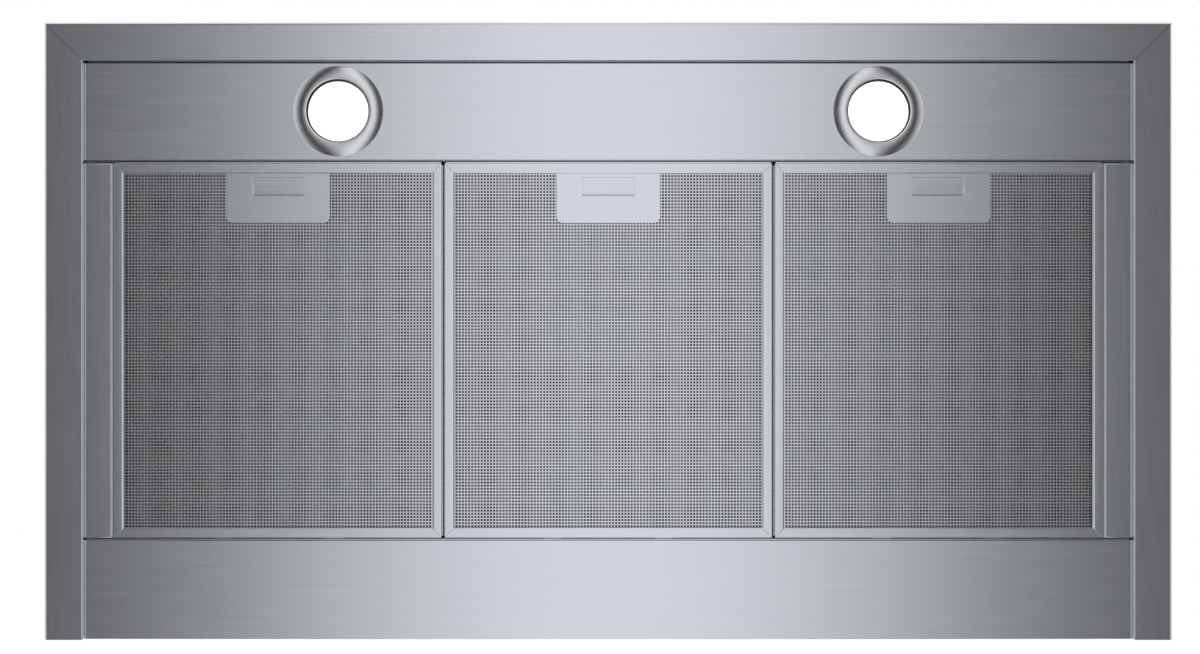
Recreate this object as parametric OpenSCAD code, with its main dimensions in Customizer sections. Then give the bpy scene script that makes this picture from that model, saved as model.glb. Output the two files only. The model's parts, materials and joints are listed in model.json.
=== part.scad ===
// Wall-mounted pyramid range hood. X runs left to right, +Y is the wall side, Z is up.
// The origin is the centre of the footprint, level with the underside of the rim.

/* [Canopy] */
// Width of the canopy, left to right
canopy_w = 914; // [900:1:960]
// Depth of the canopy, wall to front
canopy_d = 500; // [490:1:540]
// Height of the canopy, rim to chimney seat
canopy_h = 250; // [240:1:300]
// Height of the upright band at the foot of the canopy
band_h = 60; // [54:1:70]
// Thickness of the canopy sheet
canopy_t = 1; // [0.8:0.1:1.2]
// Width of the front rim flange
front_rim_w = 31; // [26:0.5:34]
// Width of each side rim flange
side_rim_w = 31.5; // [26:0.5:32]
// Width of the flange that the chimney stands on
seat_flange_w = 15; // [13:0.5:17]

/* [Underside panels] */
// How far the panels lie above the underside of the rim
panel_recess = 3; // [2.8:0.1:5]
// Thickness of the panel sheet
panel_t = 1; // [0.8:0.1:1.2]
// Height of the folded edges of the panels
panel_edge_h = 13; // [12:0.5:16]
// Gap between the front rim and the lamp panel
front_gap = 1.7; // [1:0.1:3]
// Gap between a side rim and the panels
side_gap = 1.6; // [1:0.1:3]
// Depth of the lamp panel, front to back
lamp_panel_d = 78.8; // [78:0.2:84]
// Height of the lamp panel's rear edge, which the latches rest on
latch_ledge_h = 6; // [5.5:0.1:6]
// Height of the rear panel's front edge, which the filter tabs rest on
tab_ledge_h = 5.5; // [5:0.1:5.6]

/* [Filters] */
// Width of the filler strip beside the outer filters
filler_w = 21.15; // [18:0.05:30]
// Depth of one filter, front to back
filter_d = 303.8; // [290:0.2:310]
// Thickness of a filter
filter_h = 12; // [12:0.1:14]
// Width of the filter's frame rails
rail_w = 8.3; // [7.5:0.1:10]
// Thickness of the frame's sheet
frame_t = 1; // [0.8:0.1:1.1]
// Outside bend radius of the frame
frame_bend_r = 1.2; // [1:0.1:1.5]
// Gap between two filters
filter_gap = 2; // [1.5:0.1:3]
// Gap between the lamp panel and the filters
filter_front_gap = 2.5; // [2:0.1:2.8]
// Gap between the filters and the rear panel
filter_rear_gap = 1.9; // [1.5:0.1:2.5]
// Gap between the outer filters and the side fillers
filler_gap = 1.75; // [1.2:0.05:2.5]
// Width of one rear tab
tab_w = 14; // [10:1:20]
// Distance between the two rear tabs of a filter
tab_pitch = 90; // [60:1:140]
// Length of a rear tab
tab_len = 10.2; // [8:0.1:14]
// Thickness of a rear tab
tab_t = 1.5; // [1:0.1:1.8]
// Thickness of the woven net
net_t = 1; // [0.8:0.1:1.2]
// Thickness of the bars of the net
net_bar = 2.4; // [1.5:0.1:3]

/* [Latches] */
// Width of the handle plate
handle_w = 84; // [70:1:100]
// Depth of the handle plate that shows behind the rail
handle_d = 40; // [36:0.5:48]
// Corner radius of the handle plate
handle_r = 5; // [3:0.5:8]
// Thickness of the handle plate
handle_t = 1; // [0.8:0.1:1.2]
// Width of the finger scoop
scoop_w = 42.5; // [36:0.5:50]
// Depth of the finger scoop, front to back
scoop_d = 15.4; // [14:0.2:17]
// Height of the finger scoop above the plate
scoop_h = 6; // [5.5:0.1:6]
// Distance from the rail to the finger scoop
scoop_setback = 2.9; // [2.5:0.1:4]
// Width of the latch bolt
bolt_w = 28; // [20:1:32]
// Thickness of the latch bolt
bolt_t = 2; // [1.5:0.1:2.4]
// Travel of the latch
latch_travel = 4.5; // [4:0.1:4.7]
// Outside diameter of the latch spring
spring_d = 5; // [4:0.1:5]
// Diameter of the spring wire
spring_wire = 0.8; // [0.6:0.1:0.9]

/* [Lamps] */
// Distance between the lamp centres
lamp_pitch = 437; // [380:0.2:520]
// Distance from the front of the canopy to the lamp centres
lamp_setback = 72.6; // [70:0.2:74]
// Outside diameter of the lamp ring
lamp_ring_d = 73.3; // [68:0.1:74]
// Inside diameter of the lamp ring
lamp_ring_bore = 53; // [50:0.1:55]
// Diameter of the lens
lens_d = 48.8; // [44:0.1:49]
// Height of the lamp body
lamp_body_h = 24; // [20:1:40]

/* [Blower] */
// Outside diameter of the impeller
impeller_d = 150; // [140:1:156]
// Width of the impeller
impeller_w = 144; // [130:1:148]
// Diameter of the rotor shaft
shaft_d = 8; // [6:0.5:10]
// Diameter of the motor
motor_d = 76; // [60:1:84]
// Width of the scroll housing
scroll_w = 160; // [156:1:166]
// Thickness of the scroll housing
scroll_t = 1.5; // [1:0.1:2]
// Diameter of the two air inlets
inlet_d = 110; // [96:1:120]
// Outside diameter of the duct collar
duct_d = 150; // [145:1:152]
// Height of the duct collar
collar_h = 62; // [50:1:80]
// Wall of the duct collar
collar_t = 2.5; // [2:0.1:3]

/* [Chimney] */
// Width of the chimney
chimney_w = 320; // [314:1:340]
// Depth of the chimney
chimney_d = 275; // [262:1:290]
// Height of the lower chimney cover
lower_cover_h = 380; // [360:1:420]
// Height of the upper chimney cover
upper_cover_h = 380; // [360:1:420]
// How far the covers overlap when set up
cover_overlap = 160; // [120:1:200]
// Gap between the two covers
cover_gap = 0.5; // [0.3:0.1:0.8]
// Width of the covers' folded edges
cover_fold_w = 12; // [8:0.5:13]

/* [Wall fixing] */
// Distance between the wall screws, left to right
wall_hole_x = 300; // [260:1:320]
// Distance between the wall screws, up and down
wall_hole_z = 80; // [60:1:84]
// Diameter of the wall screw holes
wall_hole_d = 8; // [6:0.5:9]
// Distance between the ceiling bracket's wall screws
bracket_hole_x = 200; // [150:1:240]

/* [Controls] */
// Diameter of a push button
button_d = 13.6; // [12:0.1:14]
// Distance between the buttons
button_pitch = 24; // [21:0.5:27]
// Travel of a push button
button_travel = 2.5; // [1.5:0.1:3]
// Height of the buttons' centre line
button_z = 36; // [35:0.5:37]

/* [Hidden] */
$fn = 64;
steel = "#b9bdc3";
dark_steel = "#8e9298";
zinc = "#a8adb2";
black_plastic = "#2c2d30";

// Extra depth of a cut past a face
cut = 1;
// Length of a drill that passes through any sheet
drill = 40;
// Seam left between sheets that meet at a slope
seam = 0.1;
// How far along the slope a hip cut runs, where 1 ends at the seat
hip_reach = 1.06;

// Canopy
y_front = -canopy_d / 2;
y_wall = canopy_d / 2;
chimney_y0 = y_wall - chimney_d;
run_x = (canopy_w - chimney_w) / 2;
run_y = canopy_d - chimney_d;
rise = canopy_h - band_h;
shelf_z = panel_recess + panel_edge_h;
lip_x = canopy_w / 2 - side_rim_w;
lip_y = y_front + front_rim_w;
top_plate_t = 1.5;
top_plate_z = canopy_h - canopy_t - top_plate_t;
top_plate_margin = 1.5;
carrier_upstand = 20;
wall_screw_rise = 60;
cover_screw_x = 90;
cover_screw_y = 40;

// Underside, front to back
panel_x = lip_x - side_gap;
lamp_panel_y0 = lip_y + front_gap;
lamp_panel_y1 = lamp_panel_y0 + lamp_panel_d;
filter_y0 = lamp_panel_y1 + filter_front_gap;
filter_y1 = filter_y0 + filter_d;
rear_panel_y0 = filter_y1 + filter_rear_gap;
filler_x0 = panel_x - filler_w;
filter_w = (2 * (filler_x0 - filler_gap) - 2 * filter_gap) / 3;
filter_pitch = filter_w + filter_gap;
// Room under the tabs and the bolts, over the edges that they rest on
rest_gap = 0.2;
tab_z = panel_recess + tab_ledge_h + rest_gap;
bolt_z = panel_recess + latch_ledge_h + rest_gap;

// Filter, with u across and v from its front face
mesh_fit = 0.2;
net_z = panel_recess + frame_t + handle_t + 2 * mesh_fit;
net_cols = 10;
net_rows = 10;
core_z = net_z + net_t + mesh_fit;
spring_room = 14;
guide_back = rail_w + scoop_setback + scoop_d + spring_room;
pack_gap = 1;

// Latch
plate_z = panel_recess + frame_t + mesh_fit;
plate_stop_gap = 0.5;
plate_front = latch_travel + frame_t + plate_stop_gap;
scoop_v0 = rail_w + scoop_setback;
scoop_v1 = scoop_v0 + scoop_d;
scoop_wall = 1;
scoop_top = plate_z + scoop_h + scoop_wall;
scoop_slit = 1;
scoop_r = 2.4;
ear_w = 2.3;
ear_t = 1;
ear_z = plate_z + 3;
ear_gap = 0.5;
slide_gap = 0.3;
ledge_t = 1;
guide_wall = 1.2;
guide_half = scoop_w / 2 + scoop_wall + ear_w + ear_gap + guide_wall;
guide_w = 2 * guide_half;
bolt_start = 0.3;
spring_gap = 0.1;
spring_z = plate_z + handle_t + 4 * spring_gap + spring_d / 2;
spring_v0 = scoop_v1 + 3;
spring_turns = 4;

// Lamps
lamp_y = y_front + lamp_setback;
lamp_sleeve_t = 1.7;
lamp_hole_gap = 0.3;
lamp_ring_top = panel_recess + panel_t + 6;
// Share of the ring's height by which its outer side is flatter than its inner side
dome_slack = 0.15;
lamp_body_gap = 0.3;
lamp_flange_w = 3;
lens_t = 2;
lens_z = 1.2;
lens_gap = 0.2;

// Blower
duct_y = y_wall - chimney_d / 2;
tongue_r = impeller_d / 2 + 7;
scroll_growth = 28;
scroll_end_r = tongue_r + scroll_growth;
blower_y = duct_y - scroll_end_r / 2;
neck_h = 24;
blower_z = top_plate_z - tongue_r - neck_h;
outlet_flange_x = 94;
outlet_flange_y = 79;
outlet_flange_t = 1.5;
outlet_margin_x = 5;
outlet_margin_y = 3;
blower_screw_x = outlet_flange_x - 7;
blower_screw_y = outlet_flange_y - 8;
screw_d = 4;
screw_hole_d = 4.4;
screw_head_d = 7;
screw_head_h = 2;
collar_base_t = 2.5;
plate_top = top_plate_z + top_plate_t;
flap_z = plate_top + collar_base_t + 8;
flap_pivot_gap = 5;
flap_rod_d = 4;
flap_t = 1.2;
flap_clear = 1;
collar_r = duct_d / 2;
collar_bore_r = collar_r - collar_t;
collar_ledge_w = 2.5;
rod_gap = 0.05;
rod_end_gap = 0.5;
hub_r = 10;
hub_x0 = -8;
hub_w = 20;
impeller_rim_t = 1;
impeller_disc_t = 2;
shaft_fit = 0.03;
bearing_fit = 0.05;
blade_count = 36;
blade_sweep = 14;
blade_t = 0.8;
blade_inner_r = impeller_d / 2 - 14;
motor_x1 = -12;
motor_step = 8;
motor_step_w = 5;
motor_bore_start = 20;
guard_t = 2;
guard_rim_w = 11;
spoke_w = 6;
spoke_root = 2;
bracket_plate_r = 30;
guard_plate_r = 12;
guard_ring_r = 36;
guard_ring_w = 4;

// Chimney
cover_t = 1;
upper_wall_gap = 1.5;
upper_w = chimney_w - 2 * (cover_t + cover_gap);
upper_d = chimney_d - cover_t - cover_gap - upper_wall_gap;
upper_z = canopy_h + lower_cover_h - cover_overlap;
total_h = upper_z + upper_cover_h;
bracket_h = 28;
bracket_t = 1.5;
bracket_drop = 1;
bracket_side_gap = 3;
bracket_shelf_d = 20;
bracket_hole_rise = 12;
bracket_hole_d = 6;
bracket_back_gap = 0.2;
bracket_screw_drop = 12;
bracket_screw_back = 30;
bracket_screw_z = total_h - bracket_screw_drop;
bracket_screw_y = y_wall - bracket_screw_back;
bracket_ear_d = 48;

// Electrics
box_gap = 3;
box_x0 = outlet_flange_x + box_gap;
box_w = chimney_w / 2 - cover_t - cover_fold_w - box_gap - box_x0;
box_d = 90;
box_h = 50;
box_t = 1;
box_wall_gap = 8;
box_y1 = y_wall - box_wall_gap;
gland_inset = 19;
gland_back = 60;
gland_x = box_x0 + box_w - gland_inset;
gland_y = box_y1 - gland_back;
gland_bore_d = 10;
gland_d = 18;
gland_h = 14;
gland_nut_d = 23;
gland_nut_h = 5;
gland_thread_d = 16;
gland_thread_h = 8;
gland_fit = 0.2;
capacitor_side_gap = 7.5;
capacitor_d = box_w - 2 * (box_t + capacitor_side_gap);
capacitor_h = 40;
capacitor_gap = 5;
driver_w = box_w - box_t;
driver_d = 80;
driver_foot = 10;
driver_foot_t = 3;
driver_h = 22;

// Controls
bezel_gap = 0.3;
bezel_w = 4 * button_pitch + button_d + 22;
bezel_h = 22;
bezel_flange = 4;
bezel_t = 1.5;
button_flange_w = 1.4;
button_flange_t = 1.5;
button_flange_gap = 0.3;
button_len = 9;
button_stem_d = 6;
button_stem_len = 5;
switch_d = 26;
switch_margin = 2;
// Clearance of the buttons' flanges and stems in the switch block
switch_gap = 0.4;

// Distance that a slope's inner face lies in from its outer face, level
function level_inset(run, t) = t * sqrt(run * run + rise * rise) / rise;

// Outline of the canopy seen from the front, drawn in by t
module front_outline(t) {
  half = canopy_w / 2 - t;
  inset = level_inset(run_x, t);
  knee = band_h - (inset - t) * rise / run_x;
  top = chimney_w / 2 - inset - t * run_x / rise;
  polygon([[-half, -t], [half, -t], [half, knee], [top, canopy_h + t], [-top, canopy_h + t], [-half, knee]]);
}

// Outline of the canopy seen from its side, drawn in by t, left open at the wall
module side_outline(t) {
  front = y_front + t;
  inset = level_inset(run_y, t);
  knee = band_h - (inset - t) * rise / run_y;
  top = chimney_y0 + inset + t * run_y / rise;
  back = t > 0 ? y_wall + cut : y_wall;
  polygon([[front, -t], [back, -t], [back, canopy_h + t], [top, canopy_h + t], [front, knee]]);
}

module canopy_solid(t) {
  intersection() {
    translate([0, canopy_d, 0]) rotate([90, 0, 0]) linear_extrude(2 * canopy_d) front_outline(t);
    translate([-canopy_w, 0, 0]) rotate([90, 0, 90]) linear_extrude(2 * canopy_w) side_outline(t);
  }
}

// Plan area of the front sheet, which ends at the two hip lines
module front_area(reach) {
  tip_x = canopy_w / 2 - reach * run_x;
  tip_y = y_front + reach * run_y;
  polygon([[-canopy_w / 2, y_front], [canopy_w / 2, y_front], [tip_x, tip_y], [-tip_x, tip_y]]);
}

// Ring of sheet round the chimney's foot
module seat_flange() {
  inner_w = chimney_w - 2 * seat_flange_w;
  difference() {
    translate([-chimney_w / 2, chimney_y0]) square([chimney_w, chimney_d]);
    translate([-inner_w / 2, chimney_y0 + seat_flange_w]) square([inner_w, chimney_d]);
  }
}

module canopy_shell() {
  difference() {
    canopy_solid(0);
    canopy_solid(canopy_t);
  }
  translate([0, 0, canopy_h - canopy_t]) linear_extrude(canopy_t) seat_flange();
}

// Holes for the screws that hold the lower cover down
module cover_screw_places() {
  foot = cover_fold_w / 2 + cover_t;
  for (side = [-1, 1]) {
    translate([side * cover_screw_x, chimney_y0 + foot, canopy_h]) children();
    translate([side * (chimney_w / 2 - foot), duct_y + cover_screw_y, canopy_h]) children();
  }
}

module cover_screw_holes() {
  cover_screw_places() cylinder(d = screw_hole_d, h = drill / 2, center = true);
}

module bezel_cut(w, h, depth) {
  rotate([90, 0, 0]) linear_extrude(depth, center = true) {
    square([w - h, h], center = true);
    for (side = [-1, 1]) translate([side * (w - h) / 2, 0]) circle(d = h);
  }
}

module canopy_front() {
  color(steel) difference() {
    union() {
      intersection() {
        canopy_shell();
        translate([0, 0, -cut]) linear_extrude(canopy_h + 2 * cut) front_area(hip_reach);
      }
      linear_extrude(canopy_t) front_rim();
      translate([-lip_x, lip_y - canopy_t, 0]) cube([2 * lip_x, canopy_t, shelf_z]);
    }
    translate([0, y_front, button_z]) bezel_cut(bezel_w, bezel_h, 4 * canopy_t);
    cover_screw_holes();
  }
}

module front_rim() {
  intersection() {
    polygon([[-canopy_w / 2, y_front], [canopy_w / 2, y_front], [lip_x, lip_y], [-lip_x, lip_y]]);
    square([canopy_w - 2 * canopy_t, canopy_d - 2 * canopy_t], center = true);
  }
}

// Right-hand sheet of the canopy; the left one is its mirror image
module canopy_side() {
  difference() {
    intersection() {
      canopy_shell();
      translate([0, -canopy_d, -cut]) cube([canopy_w, 2 * canopy_d, canopy_h + 2 * cut]);
    }
    translate([0, 0, -2 * cut]) linear_extrude(canopy_h + 4 * cut) front_area(hip_reach);
    translate([0, chimney_y0, canopy_h - 2 * canopy_t])
      cube([chimney_w / 2 - seat_flange_w, seat_flange_w, 4 * canopy_t]);
    cover_screw_holes();
  }
  linear_extrude(canopy_t) difference() {
    translate([lip_x, y_front + canopy_t]) square([side_rim_w - canopy_t, canopy_d - canopy_t]);
    polygon([[0, y_front], [canopy_w / 2, y_front], [lip_x, lip_y], [0, lip_y]]);
  }
  translate([lip_x, lip_y, 0]) cube([canopy_t, y_wall - lip_y, shelf_z]);
}

module canopy_left() {
  color(steel) mirror([1, 0, 0]) canopy_side();
}

module canopy_right() {
  color(steel) canopy_side();
}

module wall_screw_places() {
  z = shelf_z + wall_screw_rise;
  for (side = [-1, 1]) for (level = [0, 1])
    translate([side * wall_hole_x / 2, y_wall, z + level * wall_hole_z]) rotate([90, 0, 0]) children();
}

module back_plate() {
  color(zinc) difference() {
    intersection() {
      translate([0, y_wall, 0]) rotate([90, 0, 0]) linear_extrude(canopy_t) front_outline(canopy_t + seam);
      translate([-canopy_w / 2, 0, shelf_z]) cube([canopy_w, canopy_d, top_plate_z - shelf_z]);
    }
    wall_screw_places() cylinder(d = wall_hole_d, h = 4 * canopy_t, center = true);
  }
}

module top_plate() {
  half = chimney_w / 2 - top_plate_margin;
  outlet_w = scroll_w - 2 * outlet_margin_x;
  outlet_d = scroll_end_r - 2 * outlet_margin_y;
  color(zinc) difference() {
    translate([-half, chimney_y0 + top_plate_margin, top_plate_z])
      cube([2 * half, chimney_d - top_plate_margin, top_plate_t]);
    translate([-outlet_w / 2, duct_y - outlet_d / 2, top_plate_z - cut])
      cube([outlet_w, outlet_d, top_plate_t + 2 * cut]);
    blower_screw_places() cylinder(d = screw_hole_d, h = drill, center = true);
    cover_screw_holes();
  }
}

// A pan of sheet with its edges folded up, from the corner low to the corner high
module pan(low, high, front_h, rear_h) {
  w = high.x - low.x;
  d = high.y - low.y;
  translate([low.x, low.y, panel_recess]) {
    cube([w, d, panel_t]);
    for (x = [0, w - panel_t]) translate([x, 0, 0]) cube([panel_t, d, panel_edge_h]);
    cube([w, panel_t, front_h]);
    translate([0, d - panel_t, 0]) cube([w, panel_t, rear_h]);
  }
}

module lamp_panel() {
  hole_d = lamp_ring_bore + 2 * lamp_sleeve_t + 2 * lamp_hole_gap;
  color(steel) difference() {
    pan([-panel_x, lamp_panel_y0], [panel_x, lamp_panel_y1], panel_edge_h, latch_ledge_h);
    lamp_places() cylinder(d = hole_d, h = drill, center = true);
  }
}

module rear_panel() {
  color(steel) pan([-panel_x, rear_panel_y0], [panel_x, y_wall], tab_ledge_h, panel_edge_h);
}

module filler() {
  pan([filler_x0, filter_y0], [panel_x, filter_y1], panel_edge_h, panel_edge_h);
}

module left_filler() {
  color(steel) mirror([1, 0, 0]) filler();
}

module right_filler() {
  color(steel) filler();
}

// Bracket welded to the band, which the panels' folded edges hang from
module carrier() {
  x1 = canopy_w / 2 - canopy_t;
  y1 = y_wall - canopy_t;
  translate([filler_x0, lamp_panel_y0, shelf_z]) cube([x1 - filler_x0, y1 - lamp_panel_y0, canopy_t]);
  translate([x1 - canopy_t, lamp_panel_y0, shelf_z]) cube([canopy_t, y1 - lamp_panel_y0, carrier_upstand]);
}

module left_carrier() {
  color(zinc) mirror([1, 0, 0]) carrier();
}

module right_carrier() {
  color(zinc) carrier();
}

// Cross-section of a filter rail, open inwards, with rounded outer folds
module rail_outline() {
  r = frame_bend_r;
  difference() {
    union() {
      translate([r, 0]) square([rail_w - r, filter_h]);
      translate([0, r]) square([2 * r, filter_h - 2 * r]);
      for (b = [r, filter_h - r]) translate([r, b]) circle(r);
    }
    translate([frame_t, frame_t]) square([rail_w, filter_h - 2 * frame_t]);
  }
}

// A rail of the given length along X, mitred at both ends
module rail(length) {
  reach = 2 * rail_w;
  intersection() {
    rotate([90, 0, 90]) linear_extrude(length) rail_outline();
    translate([0, 0, -cut]) linear_extrude(filter_h + 2 * cut)
      polygon([[0, 0], [length, 0], [length - reach, reach], [reach, reach]]);
  }
}

module filter_frame() {
  color(steel) difference() {
    union() {
      translate([-filter_w / 2, 0, panel_recess]) {
        rail(filter_w);
        translate([0, filter_d, 0]) mirror([0, 1, 0]) rail(filter_w);
        mirror([1, 0, 0]) rotate([0, 0, 90]) rail(filter_d);
        translate([filter_w, 0, 0]) rotate([0, 0, 90]) rail(filter_d);
      }
      for (side = [-1, 1]) translate([side * tab_pitch / 2 - tab_w / 2, filter_d - frame_t, tab_z])
        cube([tab_w, tab_len + frame_t, tab_t]);
    }
    translate([-bolt_w / 2 - 2 * slide_gap, -cut, bolt_z - slide_gap])
      cube([bolt_w + 4 * slide_gap, frame_t + 2 * cut, bolt_t + 2 * slide_gap]);
  }
}

// Outline of the mesh inside the frame, with room for the latch guide
module mesh_outline() {
  edge = frame_t + mesh_fit;
  difference() {
    translate([-filter_w / 2 + edge, edge]) square([filter_w - 2 * edge, filter_d - 2 * edge]);
    translate([-guide_half - pack_gap, -cut]) square([guide_w + 2 * pack_gap, guide_back + pack_gap + cut]);
  }
}

module filter_mesh() {
  window_w = filter_w - 2 * rail_w;
  window_d = filter_d - 2 * rail_w;
  cell_w = window_w / net_cols;
  cell_d = window_d / net_rows;
  color(dark_steel) {
    translate([0, 0, net_z]) linear_extrude(net_t) difference() {
      mesh_outline();
      for (i = [0 : net_cols - 1]) for (j = [0 : net_rows - 1])
        translate([-window_w / 2 + i * cell_w + net_bar / 2, rail_w + j * cell_d + net_bar / 2])
          square([cell_w - net_bar, cell_d - net_bar]);
    }
    translate([0, 0, core_z]) linear_extrude(panel_recess + filter_h - frame_t - mesh_fit - core_z)
      mesh_outline();
  }
}

module handle_outline() {
  back = rail_w + handle_d;
  translate([-handle_w / 2, plate_front]) square([handle_w, back - plate_front - handle_r]);
  translate([-handle_w / 2 + handle_r, plate_front]) square([handle_w - 2 * handle_r, back - plate_front]);
  for (side = [-1, 1]) translate([side * (handle_w / 2 - handle_r), back - handle_r]) circle(handle_r);
}

module scoop_outline(wall) {
  w = scoop_w + 2 * wall;
  r = scoop_r + wall;
  translate([-w / 2, scoop_v0 - wall + r]) square([w, scoop_d + wall - r]);
  translate([-w / 2 + r, scoop_v0 - wall]) square([w - 2 * r, r + cut]);
  for (side = [-1, 1]) translate([side * (w / 2 - r), scoop_v0 - wall + r]) circle(r);
}

// Handle plate with its finger scoop, side ears, spring tab and front bolt, shown drawn back
module latch() {
  color(steel) {
    difference() {
      union() {
        translate([0, 0, plate_z]) linear_extrude(handle_t) handle_outline();
        translate([0, 0, plate_z]) linear_extrude(scoop_top - plate_z) scoop_outline(scoop_wall);
        translate([-scoop_w / 2 - scoop_wall - ear_w, scoop_v0 + scoop_r, ear_z])
          cube([scoop_w + 2 * (scoop_wall + ear_w), scoop_d - 2 * scoop_r, ear_t]);
      }
      translate([0, 0, plate_z - cut]) linear_extrude(scoop_h + cut) scoop_outline(0);
      translate([-scoop_w / 2, scoop_v1 - scoop_slit, plate_z + handle_t])
        cube([scoop_w, 2 * scoop_slit, scoop_top]);
    }
    translate([-bolt_w / 2, bolt_start, bolt_z]) cube([bolt_w, scoop_v0 - bolt_start, bolt_t]);
    translate([-spring_d / 2, spring_v0 - scoop_wall, plate_z])
      cube([spring_d, scoop_wall, spring_z + spring_d / 2 - plate_z]);
  }
}

// Fixed guide over the latch, with ledges for its ears and a wall for its spring
module latch_guide() {
  top_z = panel_recess + filter_h - frame_t - spring_gap;
  web_t = 1;
  ledge_z = ear_z - slide_gap - ledge_t;
  ledge_x = scoop_w / 2 + scoop_wall + 2 * slide_gap;
  foot_z = plate_z + handle_t + slide_gap;
  web_v0 = frame_t + mesh_fit;
  wall_v0 = rail_w + mesh_fit;
  color(black_plastic) {
    translate([-guide_half, web_v0, top_z - web_t]) cube([guide_w, guide_back - web_v0, web_t]);
    for (side = [0, 1]) mirror([side, 0, 0]) {
      translate([guide_half - guide_wall, wall_v0, foot_z])
        cube([guide_wall, guide_back - wall_v0, top_z - foot_z]);
      translate([ledge_x, wall_v0, ledge_z]) cube([guide_half - ledge_x, guide_back - wall_v0, ledge_t]);
    }
    translate([-guide_half, guide_back - guide_wall, foot_z]) cube([guide_w, guide_wall, top_z - foot_z]);
  }
}

// Compression spring between the latch's tab and the guide's rear wall, as one wound tube
module latch_spring() {
  wire_r = spring_wire / 2;
  coil_r = spring_d / 2 - wire_r;
  start = spring_v0 + wire_r + spring_gap;
  end = guide_back - guide_wall - wire_r - spring_gap;
  sides = 6;
  steps = 8;
  rings = steps * spring_turns;
  pitch = (end - start) / rings;
  points = [for (i = [0 : rings]) for (k = [0 : sides - 1])
    let (a = 360 * i / steps, b = 360 * k / sides, r = coil_r + wire_r * cos(b))
    [r * cos(a), start + pitch * i + wire_r * sin(b), r * sin(a)]];
  walls = [for (i = [0 : rings - 1]) for (k = [0 : sides - 1])
    let (m = (k + 1) % sides, here = i * sides, next = here + sides)
    each [[here + k, next + k, here + m], [here + m, next + k, next + m]]];
  last = rings * sides;
  caps = [for (k = [1 : sides - 2]) each [[0, k, k + 1], [last, last + k + 1, last + k]]];
  echo(least_gap_between_curls = steps * pitch - spring_wire);
  color(dark_steel) translate([0, 0, spring_z]) polyhedron(points, concat(walls, caps));
}

// Stands its children in the place of filter -1, 0 or 1
module at_filter(i) {
  translate([i * filter_pitch, filter_y0, 0]) children();
}

module lamp_places() {
  for (side = [-1, 1]) translate([side * lamp_pitch / 2, lamp_y, 0]) children();
}

module at_lamp(side) {
  translate([side * lamp_pitch / 2, lamp_y, 0]) children();
}

// Domed ring under the panel, with a sleeve up through it
module lamp_ring() {
  outer = lamp_ring_d / 2;
  inner = lamp_ring_bore / 2;
  sleeve = inner + lamp_sleeve_t;
  steps = 12;
  dome = [for (i = [0 : steps])
    let (a = 180 * i / steps, bulge = sin(a) * (1 - dome_slack * (1 + cos(a)) / 2))
    [(outer + inner) / 2 + (outer - inner) / 2 * cos(a), panel_recess * (1 - bulge)]];
  wall = [[inner, lamp_ring_top], [sleeve, lamp_ring_top], [sleeve, panel_recess]];
  color(steel) rotate_extrude() polygon(concat(dome, wall));
}

module lamp_body() {
  outer = lamp_ring_bore / 2 - lamp_body_gap;
  color(black_plastic) difference() {
    union() {
      translate([0, 0, lens_z + 2 * lens_gap]) cylinder(r = outer, h = lamp_body_h);
      translate([0, 0, lamp_ring_top])
        cylinder(r = outer + lamp_flange_w, h = lamp_body_h - lamp_ring_top + lens_z);
    }
    cylinder(d = lens_d + 2 * lens_gap, h = lens_z + lens_t);
  }
}

module lamp_lens() {
  color("white") translate([0, 0, lens_z]) cylinder(d = lens_d, h = lens_t);
}

module blower_screw_places() {
  for (x = [-1, 1]) for (y = [-1, 1])
    translate([x * blower_screw_x, duct_y + y * blower_screw_y, plate_top]) children();
}

// Outline of the scroll in Y and Z about the impeller's axis, drawn in by t
module scroll_outline(t, lift) {
  steps = 36;
  spiral = [for (i = [0 : steps]) let (a = 270 * i / steps, r = tongue_r + scroll_growth * a / 270 - t)
    [r * cos(90 + a), r * sin(90 + a)]];
  top = top_plate_z - blower_z + lift;
  polygon(concat([[t, top]], [[t, tongue_r - t]], spiral, [[scroll_end_r - t, top]]));
}

// Half of the scroll housing on the +X side
module scroll_half() {
  half = scroll_w / 2;
  difference() {
    union() {
      translate([0, blower_y, blower_z]) rotate([90, 0, 90]) linear_extrude(half) scroll_outline(0, 0);
      translate([0, duct_y - outlet_flange_y, top_plate_z - outlet_flange_t])
        cube([outlet_flange_x, 2 * outlet_flange_y, outlet_flange_t]);
    }
    translate([-cut, blower_y, blower_z]) rotate([90, 0, 90])
      linear_extrude(half - scroll_t + cut) scroll_outline(scroll_t, cut);
    translate([0, blower_y, blower_z]) rotate([0, 90, 0]) cylinder(d = inlet_d, h = scroll_w);
    blower_screw_places() cylinder(d = screw_hole_d, h = drill, center = true);
  }
}

module scroll_left() {
  color(zinc) mirror([1, 0, 0]) scroll_half();
}

module scroll_right() {
  color(zinc) scroll_half();
}

module on_blower_axis(x) {
  translate([x, blower_y, blower_z]) rotate([0, 90, 0]) children();
}

// Ring and spokes on the face of an inlet, with a middle plate
module inlet_spider(middle_r) {
  spoke_r = middle_r - spoke_root;
  linear_extrude(guard_t) {
    difference() {
      circle(d = inlet_d + 2 * guard_rim_w);
      circle(d = inlet_d);
    }
    circle(middle_r);
    for (a = [0 : 60 : 300]) rotate(a) translate([spoke_r, -spoke_w / 2])
      square([inlet_d / 2 + spoke_root - spoke_r, spoke_w]);
  }
}

module motor_bracket() {
  color(zinc) on_blower_axis(-scroll_w / 2 - guard_t) inlet_spider(bracket_plate_r);
}

module inlet_guard() {
  color(black_plastic) on_blower_axis(scroll_w / 2) {
    inlet_spider(guard_plate_r);
    linear_extrude(guard_t) difference() {
      circle(guard_ring_r);
      circle(guard_ring_r - guard_ring_w);
    }
  }
}

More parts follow.
